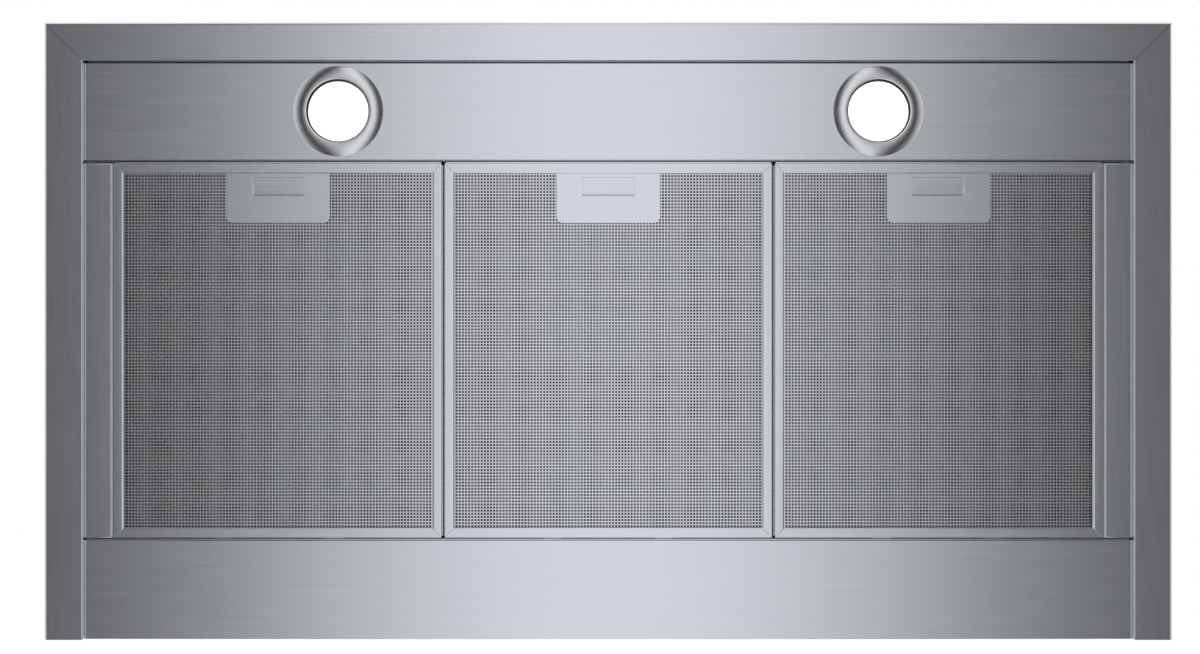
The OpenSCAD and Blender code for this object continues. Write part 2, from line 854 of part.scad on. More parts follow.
module motor() {
  x0 = -scroll_w / 2;
  length = motor_x1 - x0;
  color(dark_steel) difference() {
    union() {
      on_blower_axis(x0) cylinder(d = motor_d - 2 * motor_step_w, h = length);
      on_blower_axis(x0 + motor_step) cylinder(d = motor_d, h = length - 2 * motor_step);
    }
    on_blower_axis(x0 + motor_bore_start) cylinder(d = shaft_d + 2 * bearing_fit, h = scroll_w);
  }
}

module rotor_shaft() {
  x0 = motor_bore_start + 1 - scroll_w / 2;
  color("silver") on_blower_axis(x0) cylinder(d = shaft_d, h = hub_x0 + hub_w + 6 - x0);
}

module blade_outline() {
  steps = 4;
  depth = impeller_d / 2 - blade_inner_r;
  function point(s, width) =
    let (r = blade_inner_r + s * depth, a = blade_sweep * s * s + width / r * 180 / PI)
    [r * cos(a), r * sin(a)];
  inside = [for (i = [0 : steps]) point(i / steps, 0)];
  outside = [for (i = [steps : -1 : 0]) point(i / steps, blade_t)];
  polygon(concat(inside, outside));
}

module impeller() {
  rim_r = impeller_d / 2 + impeller_rim_t;
  color(black_plastic) difference() {
    union() {
      on_blower_axis(-impeller_w / 2) linear_extrude(impeller_w)
        for (i = [0 : blade_count - 1]) rotate(360 * i / blade_count) blade_outline();
      for (x = [-impeller_w / 2, impeller_w / 2 - impeller_disc_t]) on_blower_axis(x) difference() {
        cylinder(r = rim_r, h = impeller_disc_t);
        translate([0, 0, -cut]) cylinder(r = blade_inner_r - impeller_rim_t, h = impeller_disc_t + 2 * cut);
      }
      on_blower_axis(-impeller_disc_t / 2) cylinder(r = rim_r, h = impeller_disc_t);
      on_blower_axis(hub_x0) cylinder(r = hub_r, h = hub_w);
    }
    on_blower_axis(-scroll_w) cylinder(d = shaft_d + 2 * shaft_fit, h = 2 * scroll_w);
  }
}

// Spigot for the duct, on a base over the blower's outlet
module outlet_collar() {
  color(black_plastic) difference() {
    union() {
      translate([-outlet_flange_x, duct_y - outlet_flange_y, plate_top])
        cube([2 * outlet_flange_x, 2 * outlet_flange_y, collar_base_t]);
      translate([0, duct_y, plate_top]) cylinder(r = collar_r, h = collar_h, $fn = 96);
    }
    translate([0, duct_y, flap_z - flap_t]) cylinder(r = collar_bore_r, h = collar_h, $fn = 96);
    translate([0, duct_y, plate_top - cut])
      cylinder(r = collar_bore_r - collar_ledge_w, h = collar_h, $fn = 96);
    for (side = [-1, 1]) translate([0, duct_y + side * flap_pivot_gap / 2, flap_z]) rotate([0, 90, 0])
      cylinder(d = flap_rod_d + 2 * rod_gap, h = 2 * duct_d, center = true);
    blower_screw_places() cylinder(d = screw_hole_d, h = drill, center = true);
  }
}

// Half-round flap with its pivot rod, closed and level; drawn for the wall side
module flap() {
  rod_half = sqrt(collar_r * collar_r - pow(flap_pivot_gap / 2, 2)) - rod_end_gap;
  r = collar_bore_r - flap_clear;
  y0 = flap_pivot_gap / 2;
  translate([0, duct_y, flap_z]) {
    intersection() {
      translate([0, 0, -flap_t / 2]) cylinder(r = r, h = flap_t, $fn = 96);
      translate([-duct_d, y0, -duct_d]) cube(2 * duct_d);
    }
    translate([-rod_half, y0, 0]) rotate([0, 90, 0]) cylinder(d = flap_rod_d, h = 2 * rod_half);
  }
}

module rear_flap() {
  color("gray") flap();
}

module front_flap() {
  color("gray") translate([0, 2 * duct_y, 0]) mirror([0, 1, 0]) flap();
}

module junction_box() {
  color(zinc) difference() {
    translate([box_x0, box_y1 - box_d, plate_top]) cube([box_w, box_d, box_h]);
    translate([box_x0 + box_t, box_y1 - box_d + box_t, plate_top + box_t])
      cube([box_w - 2 * box_t, box_d - 2 * box_t, box_h]);
  }
}

module junction_box_lid() {
  color(zinc) difference() {
    translate([box_x0, box_y1 - box_d, plate_top + box_h]) cube([box_w, box_d, box_t]);
    translate([gland_x, gland_y, 0]) cylinder(d = gland_thread_d + 2 * gland_fit, h = total_h);
  }
}

module cable_gland() {
  seat = plate_top + box_h + box_t;
  color(black_plastic) translate([gland_x, gland_y, seat]) difference() {
    union() {
      translate([0, 0, -gland_thread_h]) cylinder(d = gland_thread_d, h = gland_h);
      cylinder(d = gland_nut_d, h = gland_nut_h, $fn = 6);
      cylinder(d = gland_d, h = gland_h);
    }
    cylinder(d = gland_bore_d, h = drill, center = true);
  }
}

module motor_capacitor() {
  color("white") translate([box_x0 + box_w / 2, box_y1 - capacitor_d / 2 - capacitor_gap, plate_top + box_t])
    cylinder(d = capacitor_d, h = capacitor_h);
}

module lamp_driver() {
  color("#e8e8e6") translate([-box_x0 - driver_w, box_y1 - driver_d, plate_top]) difference() {
    union() {
      cube([driver_w, driver_d, driver_foot_t]);
      translate([2, driver_foot, 0]) cube([driver_w - 4, driver_d - 2 * driver_foot, driver_h]);
    }
    for (y = [driver_foot / 2, driver_d - driver_foot / 2])
      translate([driver_w / 2, y, 0]) cylinder(d = screw_hole_d, h = drill, center = true);
  }
}

module switch_block() {
  front = y_front + canopy_t + bezel_t;
  pocket = button_len - canopy_t - bezel_t + button_travel + button_flange_gap;
  color(black_plastic) difference() {
    translate([-bezel_w / 2, front, button_z - bezel_h / 2 + switch_margin])
      cube([bezel_w, switch_d, bezel_h - 2 * switch_margin]);
    button_places() translate([0, front, 0]) rotate([-90, 0, 0]) {
      translate([0, 0, -cut])
        cylinder(d = button_d + 2 * button_flange_w + 2 * switch_gap, h = cut + pocket);
      cylinder(d = button_stem_d + 2 * switch_gap, h = pocket + button_stem_len + button_flange_gap);
    }
  }
}

module button_places() {
  for (i = [-2 : 2]) translate([i * button_pitch, 0, button_z]) children();
}

module button_bezel() {
  color(black_plastic) difference() {
    union() {
      translate([0, y_front + canopy_t / 2, button_z])
        bezel_cut(bezel_w - 2 * bezel_gap, bezel_h - 2 * bezel_gap, canopy_t);
      translate([0, y_front + canopy_t + bezel_t / 2, button_z])
        bezel_cut(bezel_w + 2 * bezel_flange, bezel_h + 2 * bezel_flange, bezel_t);
    }
    button_places() rotate([90, 0, 0])
      cylinder(d = button_d + 2 * bezel_gap, h = 2 * canopy_d, center = true);
  }
}

// A push button with a keeping flange and a stem; i counts from the left
module button(i) {
  flange_y = canopy_t + bezel_t + button_flange_gap;
  color("silver") translate([i * button_pitch, y_front, button_z]) rotate([-90, 0, 0]) {
    cylinder(d = button_d, h = button_len);
    translate([0, 0, flange_y]) cylinder(d = button_d + 2 * button_flange_w, h = button_flange_t);
    cylinder(d = button_stem_d, h = button_len + button_stem_len);
  }
}

module light_button() {
  button(-2);
}

module off_button() {
  button(-1);
}

module low_button() {
  button(0);
}

module medium_button() {
  button(1);
}

module high_button() {
  button(2);
}

// Three-sided cover with folded rear edges, its back at y1
module cover(w, d, y1, z, h) {
  fold = cover_fold_w + cover_t;
  translate([-w / 2, y1 - d, z]) linear_extrude(h) difference() {
    square([w, d]);
    translate([cover_t, cover_t]) square([w - 2 * cover_t, d - 2 * cover_t]);
    translate([fold, cover_t]) square([w - 2 * fold, d]);
  }
}

module lower_cover() {
  inner_w = chimney_w - 2 * (cover_fold_w + cover_t);
  color(steel) difference() {
    union() {
      cover(chimney_w, chimney_d, y_wall, canopy_h, lower_cover_h);
      translate([0, 0, canopy_h]) linear_extrude(cover_t) difference() {
        translate([-chimney_w / 2, chimney_y0]) square([chimney_w, chimney_d]);
        translate([-inner_w / 2, chimney_y0 + cover_fold_w + cover_t]) square([inner_w, chimney_d]);
      }
    }
    cover_screw_holes();
  }
}

module upper_cover() {
  color(steel) difference() {
    cover(upper_w, upper_d, y_wall - upper_wall_gap, upper_z, upper_cover_h);
    bracket_screw_places() cylinder(d = screw_hole_d, h = 4 * cover_t, center = true);
  }
}

module bracket_screw_places() {
  for (side = [0, 1]) mirror([side, 0, 0])
    translate([upper_w / 2, bracket_screw_y, bracket_screw_z]) rotate([0, 90, 0]) children();
}

// Wall bracket at the top of the chimney, with an ear inside each side of the cover
module ceiling_bracket() {
  web_half = upper_w / 2 - cover_t - cover_fold_w - bracket_side_gap;
  ear_half = upper_w / 2 - cover_t - seam;
  z0 = total_h - bracket_h - bracket_drop;
  z1 = z0 + bracket_h - bracket_t;
  shelf_y0 = y_wall - bracket_shelf_d;
  ear_y0 = y_wall - bracket_ear_d;
  back_y = y_wall - upper_wall_gap - cover_t - bracket_back_gap;
  color(zinc) difference() {
    union() {
      translate([-web_half, y_wall - bracket_t, z0]) cube([2 * web_half, bracket_t, bracket_h]);
      translate([-web_half, shelf_y0, z1]) cube([2 * web_half, bracket_shelf_d, bracket_t]);
      translate([-ear_half, shelf_y0, z1]) cube([2 * ear_half, back_y - shelf_y0, bracket_t]);
      for (side = [0, 1]) mirror([side, 0, 0])
        translate([ear_half - bracket_t, ear_y0, z0]) cube([bracket_t, back_y - ear_y0, bracket_h]);
    }
    for (side = [-1, 1]) translate([side * bracket_hole_x / 2, y_wall, z0 + bracket_hole_rise])
      rotate([90, 0, 0]) cylinder(d = bracket_hole_d, h = 4 * bracket_t, center = true);
    bracket_screw_places() cylinder(d = screw_hole_d, h = drill / 4, center = true);
  }
}

// Pan-head screw with its head on the plane z = 0 and its shank downwards
module screw(length) {
  color("silver") {
    cylinder(d1 = screw_head_d, d2 = screw_head_d - 1, h = screw_head_h);
    translate([0, 0, -length]) cylinder(d = screw_d, h = length + 0.01);
  }
}

module cover_screws() {
  cover_screw_places() translate([0, 0, cover_t]) screw(6);
}

module blower_screws() {
  blower_screw_places() translate([0, 0, collar_base_t]) screw(9);
}

module bracket_screws() {
  bracket_screw_places() screw(5);
}

canopy_front();
canopy_left();
canopy_right();
back_plate();
top_plate();
lamp_panel();
rear_panel();
left_filler();
right_filler();
left_carrier();
right_carrier();
at_filter(-1) filter_frame();  // left_filter_frame
at_filter(0) filter_frame();  // centre_filter_frame
at_filter(1) filter_frame();  // right_filter_frame
at_filter(-1) filter_mesh();  // left_filter_mesh
at_filter(0) filter_mesh();  // centre_filter_mesh
at_filter(1) filter_mesh();  // right_filter_mesh
at_filter(-1) latch();  // left_latch
at_filter(0) latch();  // centre_latch
at_filter(1) latch();  // right_latch
at_filter(-1) latch_guide();  // left_latch_guide
at_filter(0) latch_guide();  // centre_latch_guide
at_filter(1) latch_guide();  // right_latch_guide
at_filter(-1) latch_spring();  // left_latch_spring
at_filter(0) latch_spring();  // centre_latch_spring
at_filter(1) latch_spring();  // right_latch_spring
at_lamp(-1) lamp_ring();  // left_lamp_ring
at_lamp(1) lamp_ring();  // right_lamp_ring
at_lamp(-1) lamp_body();  // left_lamp_body
at_lamp(1) lamp_body();  // right_lamp_body
at_lamp(-1) lamp_lens();  // left_lamp_lens
at_lamp(1) lamp_lens();  // right_lamp_lens
scroll_left();
scroll_right();
motor_bracket();
inlet_guard();
motor();
impeller();
rotor_shaft();
outlet_collar();
front_flap();
rear_flap();
junction_box();
junction_box_lid();
cable_gland();
motor_capacitor();
lamp_driver();
switch_block();
button_bezel();
light_button();
off_button();
low_button();
medium_button();
high_button();
lower_cover();
upper_cover();
ceiling_bracket();
cover_screws();
blower_screws();
bracket_screws();
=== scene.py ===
"""Looks for the wall-mounted pyramid range hood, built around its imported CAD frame."""
import json
import math

import bmesh
import bpy
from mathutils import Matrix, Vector


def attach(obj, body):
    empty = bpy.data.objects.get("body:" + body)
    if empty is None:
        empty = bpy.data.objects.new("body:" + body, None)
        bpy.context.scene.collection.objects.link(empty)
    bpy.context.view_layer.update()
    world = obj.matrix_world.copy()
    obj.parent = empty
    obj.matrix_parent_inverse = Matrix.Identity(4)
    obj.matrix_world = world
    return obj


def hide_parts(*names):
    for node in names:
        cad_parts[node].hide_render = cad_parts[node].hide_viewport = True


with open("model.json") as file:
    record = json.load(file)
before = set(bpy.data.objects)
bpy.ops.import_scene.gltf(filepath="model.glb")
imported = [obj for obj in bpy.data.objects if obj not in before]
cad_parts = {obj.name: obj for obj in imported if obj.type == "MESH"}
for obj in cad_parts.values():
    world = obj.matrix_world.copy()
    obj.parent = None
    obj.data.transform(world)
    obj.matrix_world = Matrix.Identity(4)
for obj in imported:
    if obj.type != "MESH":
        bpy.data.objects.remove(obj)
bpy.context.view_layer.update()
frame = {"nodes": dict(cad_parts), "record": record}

ops = bpy.ops

# Sizes in metres, as the frame has them
RIM_FRONT_Y = -0.25
WALL_Y = 0.25
HALF_W = 0.457
LIP_X = 0.4255
LIP_Y = -0.219
LIP_H = 0.016
BAND_H = 0.06
SEAT_Z = 0.25
SEAT_X = 0.16
SEAT_Y = -0.025
SEAT_FLANGE = 0.015
PANEL_Z = 0.003
PANEL_EDGE = 0.013
SHEET = 0.001
FOLD_R = 0.0009
FILTER_W = 0.266
FILTER_D = 0.3038
FILTER_H = 0.012
FILTER_Y = -0.136
FILTER_BACK = FILTER_Y + FILTER_D
FILTER_PITCH = 0.268
RAIL_FLAT = 0.0063
RAIL_W = 0.0083
PLATE_Z = 0.0042
FILTERS = {"left": -FILTER_PITCH, "centre": 0.0, "right": FILTER_PITCH}
LAMPS = {"left": -0.2190, "right": 0.2190}
LAMP_Y = -0.1782


# Modelling helpers

def to_object_mode():
    if bpy.context.mode != "OBJECT":
        ops.object.mode_set(mode="OBJECT")


def select_only(piece):
    to_object_mode()
    ops.object.select_all(action="DESELECT")
    piece.select_set(True)
    bpy.context.view_layer.objects.active = piece


def start(name, primitive, scale=(1, 1, 1), **options):
    """Adds a primitive alone in the selection, applies its place, and opens it in edit mode."""
    to_object_mode()
    ops.object.select_all(action="DESELECT")
    primitive(**options)
    piece = bpy.context.object
    piece.scale = scale
    ops.object.transform_apply(location=True, rotation=True, scale=True)
    piece.name = name
    piece.data.name = name
    ops.object.mode_set(mode="EDIT")
    ops.mesh.select_all(action="SELECT")
    return piece


def pick(piece, kind, test):
    """Selects the faces, edges or points of the open piece that pass the test."""
    ops.mesh.select_mode(type={"faces": "FACE", "edges": "EDGE", "points": "VERT"}[kind])
    ops.mesh.select_all(action="DESELECT")
    shape = bmesh.from_edit_mesh(piece.data)
    shape.normal_update()
    count = 0
    if kind == "faces":
        for face in shape.faces:
            if test(face.calc_center_median(), face.normal):
                face.select_set(True)
                count += 1
    elif kind == "edges":
        for edge in shape.edges:
            if test(edge.verts[0].co, edge.verts[1].co):
                edge.select_set(True)
                count += 1
    else:
        for point in shape.verts:
            if test(point.co):
                point.select_set(True)
                count += 1
    shape.select_flush_mode()
    bmesh.update_edit_mesh(piece.data)
    return count


def near(a, b, room=2e-4):
    return abs(a - b) < room


def slide(x=0.0, y=0.0, z=0.0):
    ops.transform.translate(value=(x, y, z))


def stretch(x=1.0, y=1.0, z=1.0, centre=(0, 0, 0)):
    ops.transform.resize(value=(x, y, z), center_override=centre)


def draw_out(x=0.0, y=0.0, z=0.0):
    """Extrudes the selected edges."""
    ops.mesh.extrude_edges_move(TRANSFORM_OT_translate={"value": (x, y, z)})


def round_over(offset, segments=4, kind="EDGES"):
    ops.mesh.bevel(offset=offset, offset_type="OFFSET", segments=segments, profile=0.5, affect=kind)


def face_out(piece, where, normal):
    """Makes the open piece's faces agree, with the one nearest to where turned towards normal."""
    ops.mesh.select_mode(type="FACE")
    ops.mesh.select_all(action="SELECT")
    ops.mesh.normals_make_consistent(inside=False)
    shape = bmesh.from_edit_mesh(piece.data)
    shape.normal_update()
    nearest = min(shape.faces, key=lambda f: (f.calc_center_median() - Vector(where)).length)
    if nearest.normal.dot(Vector(normal)) < 0:
        ops.mesh.flip_normals()


def finish_off(piece, kind, **settings):
    """Adds a modifier and applies it."""
    select_only(piece)
    modifier = piece.modifiers.new(kind.lower(), kind)
    for setting, value in settings.items():
        setattr(modifier, setting, value)
    ops.object.modifier_apply(modifier=modifier.name)


def give_wall(piece, thickness=SHEET, even=True):
    finish_off(piece, "SOLIDIFY", thickness=thickness, offset=-1.0, use_even_offset=even,
               use_quality_normals=even)


def smooth(piece, angle=35):
    """Smooth shading on bends and rounds, with flat sheet kept flat."""
    select_only(piece)
    ops.object.shade_smooth_by_angle(angle=math.radians(angle))
    finish_off(piece, "WEIGHTED_NORMAL", weight=100, keep_sharp=True)


def merge_into(piece, *others):
    select_only(piece)
    for other in others:
        other.select_set(True)
    ops.object.join()
    return piece


def cut_away(piece, cutter):
    finish_off(piece, "BOOLEAN", operation="DIFFERENCE", solver="EXACT", object=cutter)
    bpy.data.objects.remove(cutter)


def copy_to(piece, name, x=0.0, y=0.0, z=0.0):
    """A copy of a finished piece with its own mesh, moved in its mesh."""
    to_object_mode()
    twin = piece.copy()
    twin.data = piece.data.copy()
    bpy.context.scene.collection.objects.link(twin)
    twin.name = name
    twin.data.name = name
    select_only(twin)
    slide(x, y, z)
    ops.object.transform_apply(location=True, rotation=True, scale=True)
    return twin


def mirror_to(piece, name):
    """A mirror image across the hood's middle plane, turned right side out again."""
    twin = copy_to(piece, name)
    ops.object.mode_set(mode="EDIT")
    ops.mesh.select_all(action="SELECT")
    stretch(x=-1)
    ops.mesh.flip_normals()
    to_object_mode()
    smooth(twin)
    return twin


def along(**place):
    """A test for edges with both points at the given coordinates."""
    return lambda a, b: all(near(getattr(p, axis), value) for p in (a, b) for axis, value in place.items())


def any_of(*tests):
    return lambda a, b: any(test(a, b) for test in tests)


def lathe(name, centre, profile, axis="z", sides=96):
    """Turns a closed round piece from (radius, height) pairs along an axis through the centre."""
    turn = {"x": (0, math.pi / 2, 0), "y": (math.pi / 2, 0, 0), "z": (0, 0, 0)}[axis]
    radius, height = profile[0]
    place = Vector(centre)
    setattr(place, axis, getattr(place, axis) + height)
    piece = start(name, ops.mesh.primitive_circle_add, vertices=sides, radius=radius, location=place,
                  rotation=turn, fill_type="NOTHING")
    for new_radius, new_height in profile[1:]:
        draw_out(**{axis: new_height - height})
        grow = {way: 1.0 if way == axis else new_radius / radius for way in "xyz"}
        stretch(centre=centre, **grow)
        radius, height = new_radius, new_height
    ops.mesh.select_all(action="SELECT")
    if profile[0] == profile[-1]:
        ops.mesh.remove_doubles(threshold=1e-6)
    else:
        ops.mesh.fill_holes(sides=sides)
    ops.mesh.select_all(action="SELECT")
    ops.mesh.normals_make_consistent(inside=False)
    return piece


def add_block(name, low, high, radius=0.0, segments=2):
    """A block between two corners, with its edges rounded."""
    size = [b - a for a, b in zip(low, high)]
    middle = [(a + b) / 2 for a, b in zip(low, high)]
    piece = start(name, ops.mesh.primitive_cube_add, size=1, location=middle, scale=size)
    if radius:
        round_over(radius, segments)
    return piece


def settle(piece, body, slot, material, *nodes, also=()):
    """Gives a finished piece its finish and its body, and hides the CAD nodes that it stands for; the slot
    argument is not used.
    """
    to_object_mode()
    piece.data.materials.clear()
    piece.data.materials.append(material)
    for extra in also:
        piece.data.materials.append(extra)
    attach(piece, body)
    if nodes:
        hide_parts(*nodes)
    return piece


# Finishes

def new_finish(name):
    material = bpy.data.materials.new(name)
    material.use_nodes = True
    nodes = material.node_tree.nodes
    return material, nodes, material.node_tree.links, nodes["Principled BSDF"]


def place_pattern(nodes, links, scale):
    """A pattern's place on the object, stretched by the given scale on each axis."""
    place = nodes.new("ShaderNodeTexCoord")
    mapping = nodes.new("ShaderNodeMapping")
    mapping.inputs["Scale"].default_value = scale
    links.new(place.outputs["Object"], mapping.inputs["Vector"])
    return mapping.outputs["Vector"]


def add_noise(nodes, links, vector, scale, detail, roughness=0.6):
    noise = nodes.new("ShaderNodeTexNoise")
    noise.inputs["Scale"].default_value = scale
    noise.inputs["Detail"].default_value = detail
    noise.inputs["Roughness"].default_value = roughness
    links.new(vector, noise.inputs["Vector"])
    return noise.outputs["Fac"]


def spread(nodes, links, value, low, high, start=0.3, end=0.7):
    """Maps a pattern's value onto a range."""
    remap = nodes.new("ShaderNodeMapRange")
    remap.inputs["From Min"].default_value = start
    remap.inputs["From Max"].default_value = end
    remap.inputs["To Min"].default_value = low
    remap.inputs["To Max"].default_value = high
    links.new(value, remap.inputs["Value"])
    return remap.outputs["Result"]


def tint(nodes, links, value, dark, light):
    """A colour between two, by a pattern's value from 0 to 1."""
    mix = nodes.new("ShaderNodeMix")
    mix.data_type = "RGBA"
    mix.inputs["A"].default_value = (*dark, 1)
    mix.inputs["B"].default_value = (*light, 1)
    links.new(value, mix.inputs["Factor"])
    return mix.outputs["Result"]


def work_out(nodes, links, operation, *values):
    """A sum or product of numbers and patterns."""
    step = nodes.new("ShaderNodeMath")
    step.operation = operation
    for socket, value in zip(step.inputs, values):
        if isinstance(value, (int, float)):
            socket.default_value = value
        else:
            links.new(value, socket)
    return step.outputs[0]


def add_bump(nodes, links, shader, value, strength, depth):
    bump = nodes.new("ShaderNodeBump")
    bump.inputs["Strength"].default_value = strength
    bump.inputs["Distance"].default_value = depth
    links.new(value, bump.inputs["Height"])
    links.new(bump.outputs["Normal"], shader.inputs["Normal"])


def brushed_steel(name, stretch_by, color, rough=(0.235, 0.265), contrast=0.03):
    """Stainless sheet with fine brush lines along one axis and faint cloudy change."""
    material, nodes, links, shader = new_finish(name)
    lines = add_noise(nodes, links, place_pattern(nodes, links, stretch_by), 1.0, 5.0, 0.7)
    clouds = add_noise(nodes, links, place_pattern(nodes, links, (1, 1, 1)), 9.0, 2.0)
    dark = [c * (1 - contrast) for c in color]
    light = [min(1.0, c * (1 + contrast)) for c in color]
    links.new(tint(nodes, links, spread(nodes, links, lines, 0, 1), dark, light),
              shader.inputs["Base Color"])
    both = work_out(nodes, links, "ADD", spread(nodes, links, lines, rough[0], rough[1]),
                    spread(nodes, links, clouds, -0.006, 0.006))
    links.new(both, shader.inputs["Roughness"])
    shader.inputs["Metallic"].default_value = 1.0
    add_bump(nodes, links, shader, lines, 0.08, 0.00005)
    return material


STEEL = (0.63, 0.655, 0.70)
along_x = brushed_steel("steel_brushed_across", (14, 420, 420), STEEL)
along_y = brushed_steel("steel_brushed_front_to_back", (420, 14, 420), STEEL)
along_z = brushed_steel("steel_brushed_upright", (420, 420, 14), STEEL)


def smooth_steel(name, dark, light, rough, grain_scale=900.0, detail=3.0):
    """Wire or turned steel with a fine even grain and no bump."""
    material, nodes, links, shader = new_finish(name)
    grain = add_noise(nodes, links, place_pattern(nodes, links, (1, 1, 1)), grain_scale, detail)
    links.new(tint(nodes, links, spread(nodes, links, grain, 0, 1), dark, light),
              shader.inputs["Base Color"])
    links.new(spread(nodes, links, grain, rough[0], rough[1]), shader.inputs["Roughness"])
    shader.inputs["Metallic"].default_value = 1.0
    return material


def turned_finish():
    """Button steel with a fine grain across its face."""
    material, nodes, links, shader = new_finish("turned_button_steel")
    grain = add_noise(nodes, links, place_pattern(nodes, links, (900, 40, 900)), 1.0, 4.0)
    links.new(tint(nodes, links, spread(nodes, links, grain, 0, 1), (0.60, 0.61, 0.64), (0.68, 0.69, 0.72)),
              shader.inputs["Base Color"])
    links.new(spread(nodes, links, grain, 0.20, 0.30), shader.inputs["Roughness"])
    shader.inputs["Metallic"].default_value = 1.0
    add_bump(nodes, links, shader, grain, 0.12, 0.00004)
    return material


def lens_finish():
    """Opal lens, lit from behind, with a fine frost."""
    material, nodes, links, shader = new_finish("lit_opal_lens")
    frost = add_noise(nodes, links, place_pattern(nodes, links, (1, 1, 1)), 700.0, 2.0)
    links.new(tint(nodes, links, spread(nodes, links, frost, 0, 1), (0.9, 0.9, 0.9), (0.97, 0.97, 0.97)),
              shader.inputs["Base Color"])
    links.new(spread(nodes, links, frost, 0.3, 0.4), shader.inputs["Roughness"])
    shader.inputs["Emission Color"].default_value = (1.0, 0.985, 0.96, 1)
    shader.inputs["Emission Strength"].default_value = 0.9
    return material


def zinc_finish():
    """Galvanised sheet with a soft spangle."""
    material, nodes, links, shader = new_finish("galvanised_sheet")
    vector = place_pattern(nodes, links, (1, 1, 1))
    spangle = nodes.new("ShaderNodeTexVoronoi")
    spangle.inputs["Scale"].default_value = 130.0
    links.new(vector, spangle.inputs["Vector"])
    grain = add_noise(nodes, links, vector, 400.0, 3.0)
    flakes = nodes.new("ShaderNodeSeparateColor")
    links.new(spangle.outputs["Color"], flakes.inputs["Color"])
    links.new(tint(nodes, links, flakes.outputs[0], (0.48, 0.50, 0.52), (0.58, 0.60, 0.62)),
              shader.inputs["Base Color"])
    links.new(spread(nodes, links, flakes.outputs[1], 0.34, 0.52, 0, 1), shader.inputs["Roughness"])
    shader.inputs["Metallic"].default_value = 0.9
    add_bump(nodes, links, shader, grain, 0.1, 0.0001)
    return material


def plastic_finish(name, dark, light, rough, grain_scale=1400.0, depth=0.00008):
    """Moulded plastic with a fine grain."""
    material, nodes, links, shader = new_finish(name)
    vector = place_pattern(nodes, links, (1, 1, 1))
    grain = add_noise(nodes, links, vector, grain_scale, 2.0)
    clouds = add_noise(nodes, links, vector, 14.0, 3.0)
    links.new(tint(nodes, links, spread(nodes, links, clouds, 0, 1), dark, light),
              shader.inputs["Base Color"])
    links.new(spread(nodes, links, grain, rough[0], rough[1]), shader.inputs["Roughness"])
    add_bump(nodes, links, shader, grain, 0.35, depth)
    return material


wire = smooth_steel("woven_wire_steel", (0.60, 0.615, 0.645), (0.68, 0.695, 0.725), (0.25, 0.31))
# The wire layers behind the face net are the same steel wire, coloured darker as painted shade: the first
# layer behind the net dark, the middle layers near black, the last layer less dark
second_wire_painted_shade = smooth_steel("second_layer_wire", (0.17, 0.174, 0.183), (0.21, 0.215, 0.225), (0.30, 0.38))
back_wire_painted_shade = smooth_steel("back_layer_wire", (0.42, 0.43, 0.45), (0.50, 0.51, 0.53), (0.30, 0.38))
inner_wire_painted_shade = smooth_steel("inner_layer_wire", (0.04, 0.041, 0.043), (0.07, 0.072, 0.075), (0.35, 0.45))
ring_steel = smooth_steel("turned_ring_steel", (0.56, 0.57, 0.60), (0.63, 0.64, 0.67), (0.14, 0.20),
                          300.0, 4.0)
turned_steel = turned_finish()
lit_lens = lens_finish()
zinc = zinc_finish()
black_plastic = plastic_finish("black_moulded_plastic", (0.022, 0.022, 0.025), (0.04, 0.04, 0.044),
                               (0.42, 0.58))
grey_plastic = plastic_finish("grey_moulded_plastic", (0.30, 0.31, 0.32), (0.38, 0.39, 0.40),
                              (0.42, 0.55))
white_plastic = plastic_finish("white_moulded_plastic", (0.76, 0.76, 0.74), (0.84, 0.84, 0.82),
                               (0.3, 0.42))
motor_enamel = plastic_finish("dark_motor_enamel", (0.10, 0.105, 0.115), (0.16, 0.165, 0.175),
                              (0.3, 0.42), 500.0)
bright_steel = brushed_steel("bright_plated_steel", (300, 300, 300), (0.70, 0.70, 0.72), (0.16, 0.24))

SLOT_FINISH = {
    "brushed_sheet": along_x, "filter_frame": along_x, "handle_plate": along_x, "wire_mesh": wire,
    "lamp_ring": ring_steel, "lens": lit_lens, "zinc_sheet": zinc, "black_plastic": black_plastic,
    "grey_plastic": grey_plastic, "white_plastic": white_plastic, "motor_case": motor_enamel,
    "button_metal": turned_steel, "bright_steel": bright_steel, "spring_wire": bright_steel,
}
for part in frame["record"]["subparts"]:
    node = frame["nodes"][part["node"]]
    node.data.materials.clear()
    node.data.materials.append(SLOT_FINISH[part["material_slot"]])


# Canopy

SEAM = 0.00012
KNEE_R = 0.004
RIM_R = 0.003
BUTTON_Z = 0.036
BUTTON_PITCH = 0.024
BUTTON_D = 0.0136
BEZEL_W = 0.1316
BEZEL_H = 0.022
BEZEL_GAP = 0.0003


def stadium(name, width, height, front, back, radius=0.0):
    """A block with round ends, standing on the band, with its front edge rounded."""
    piece = start(name, ops.mesh.primitive_cylinder_add, vertices=64, radius=height / 2, depth=back - front,
                  location=(0, (front + back) / 2, BUTTON_Z), rotation=(math.pi / 2, 0, 0))
    for side in (-1, 1):
        pick(piece, "points", lambda p: p.x * side > 1e-5)
        slide(x=side * (width - height) / 2)
    if radius:
        pick(piece, "edges", along(y=front))
        round_over(radius, 3)
    return piece


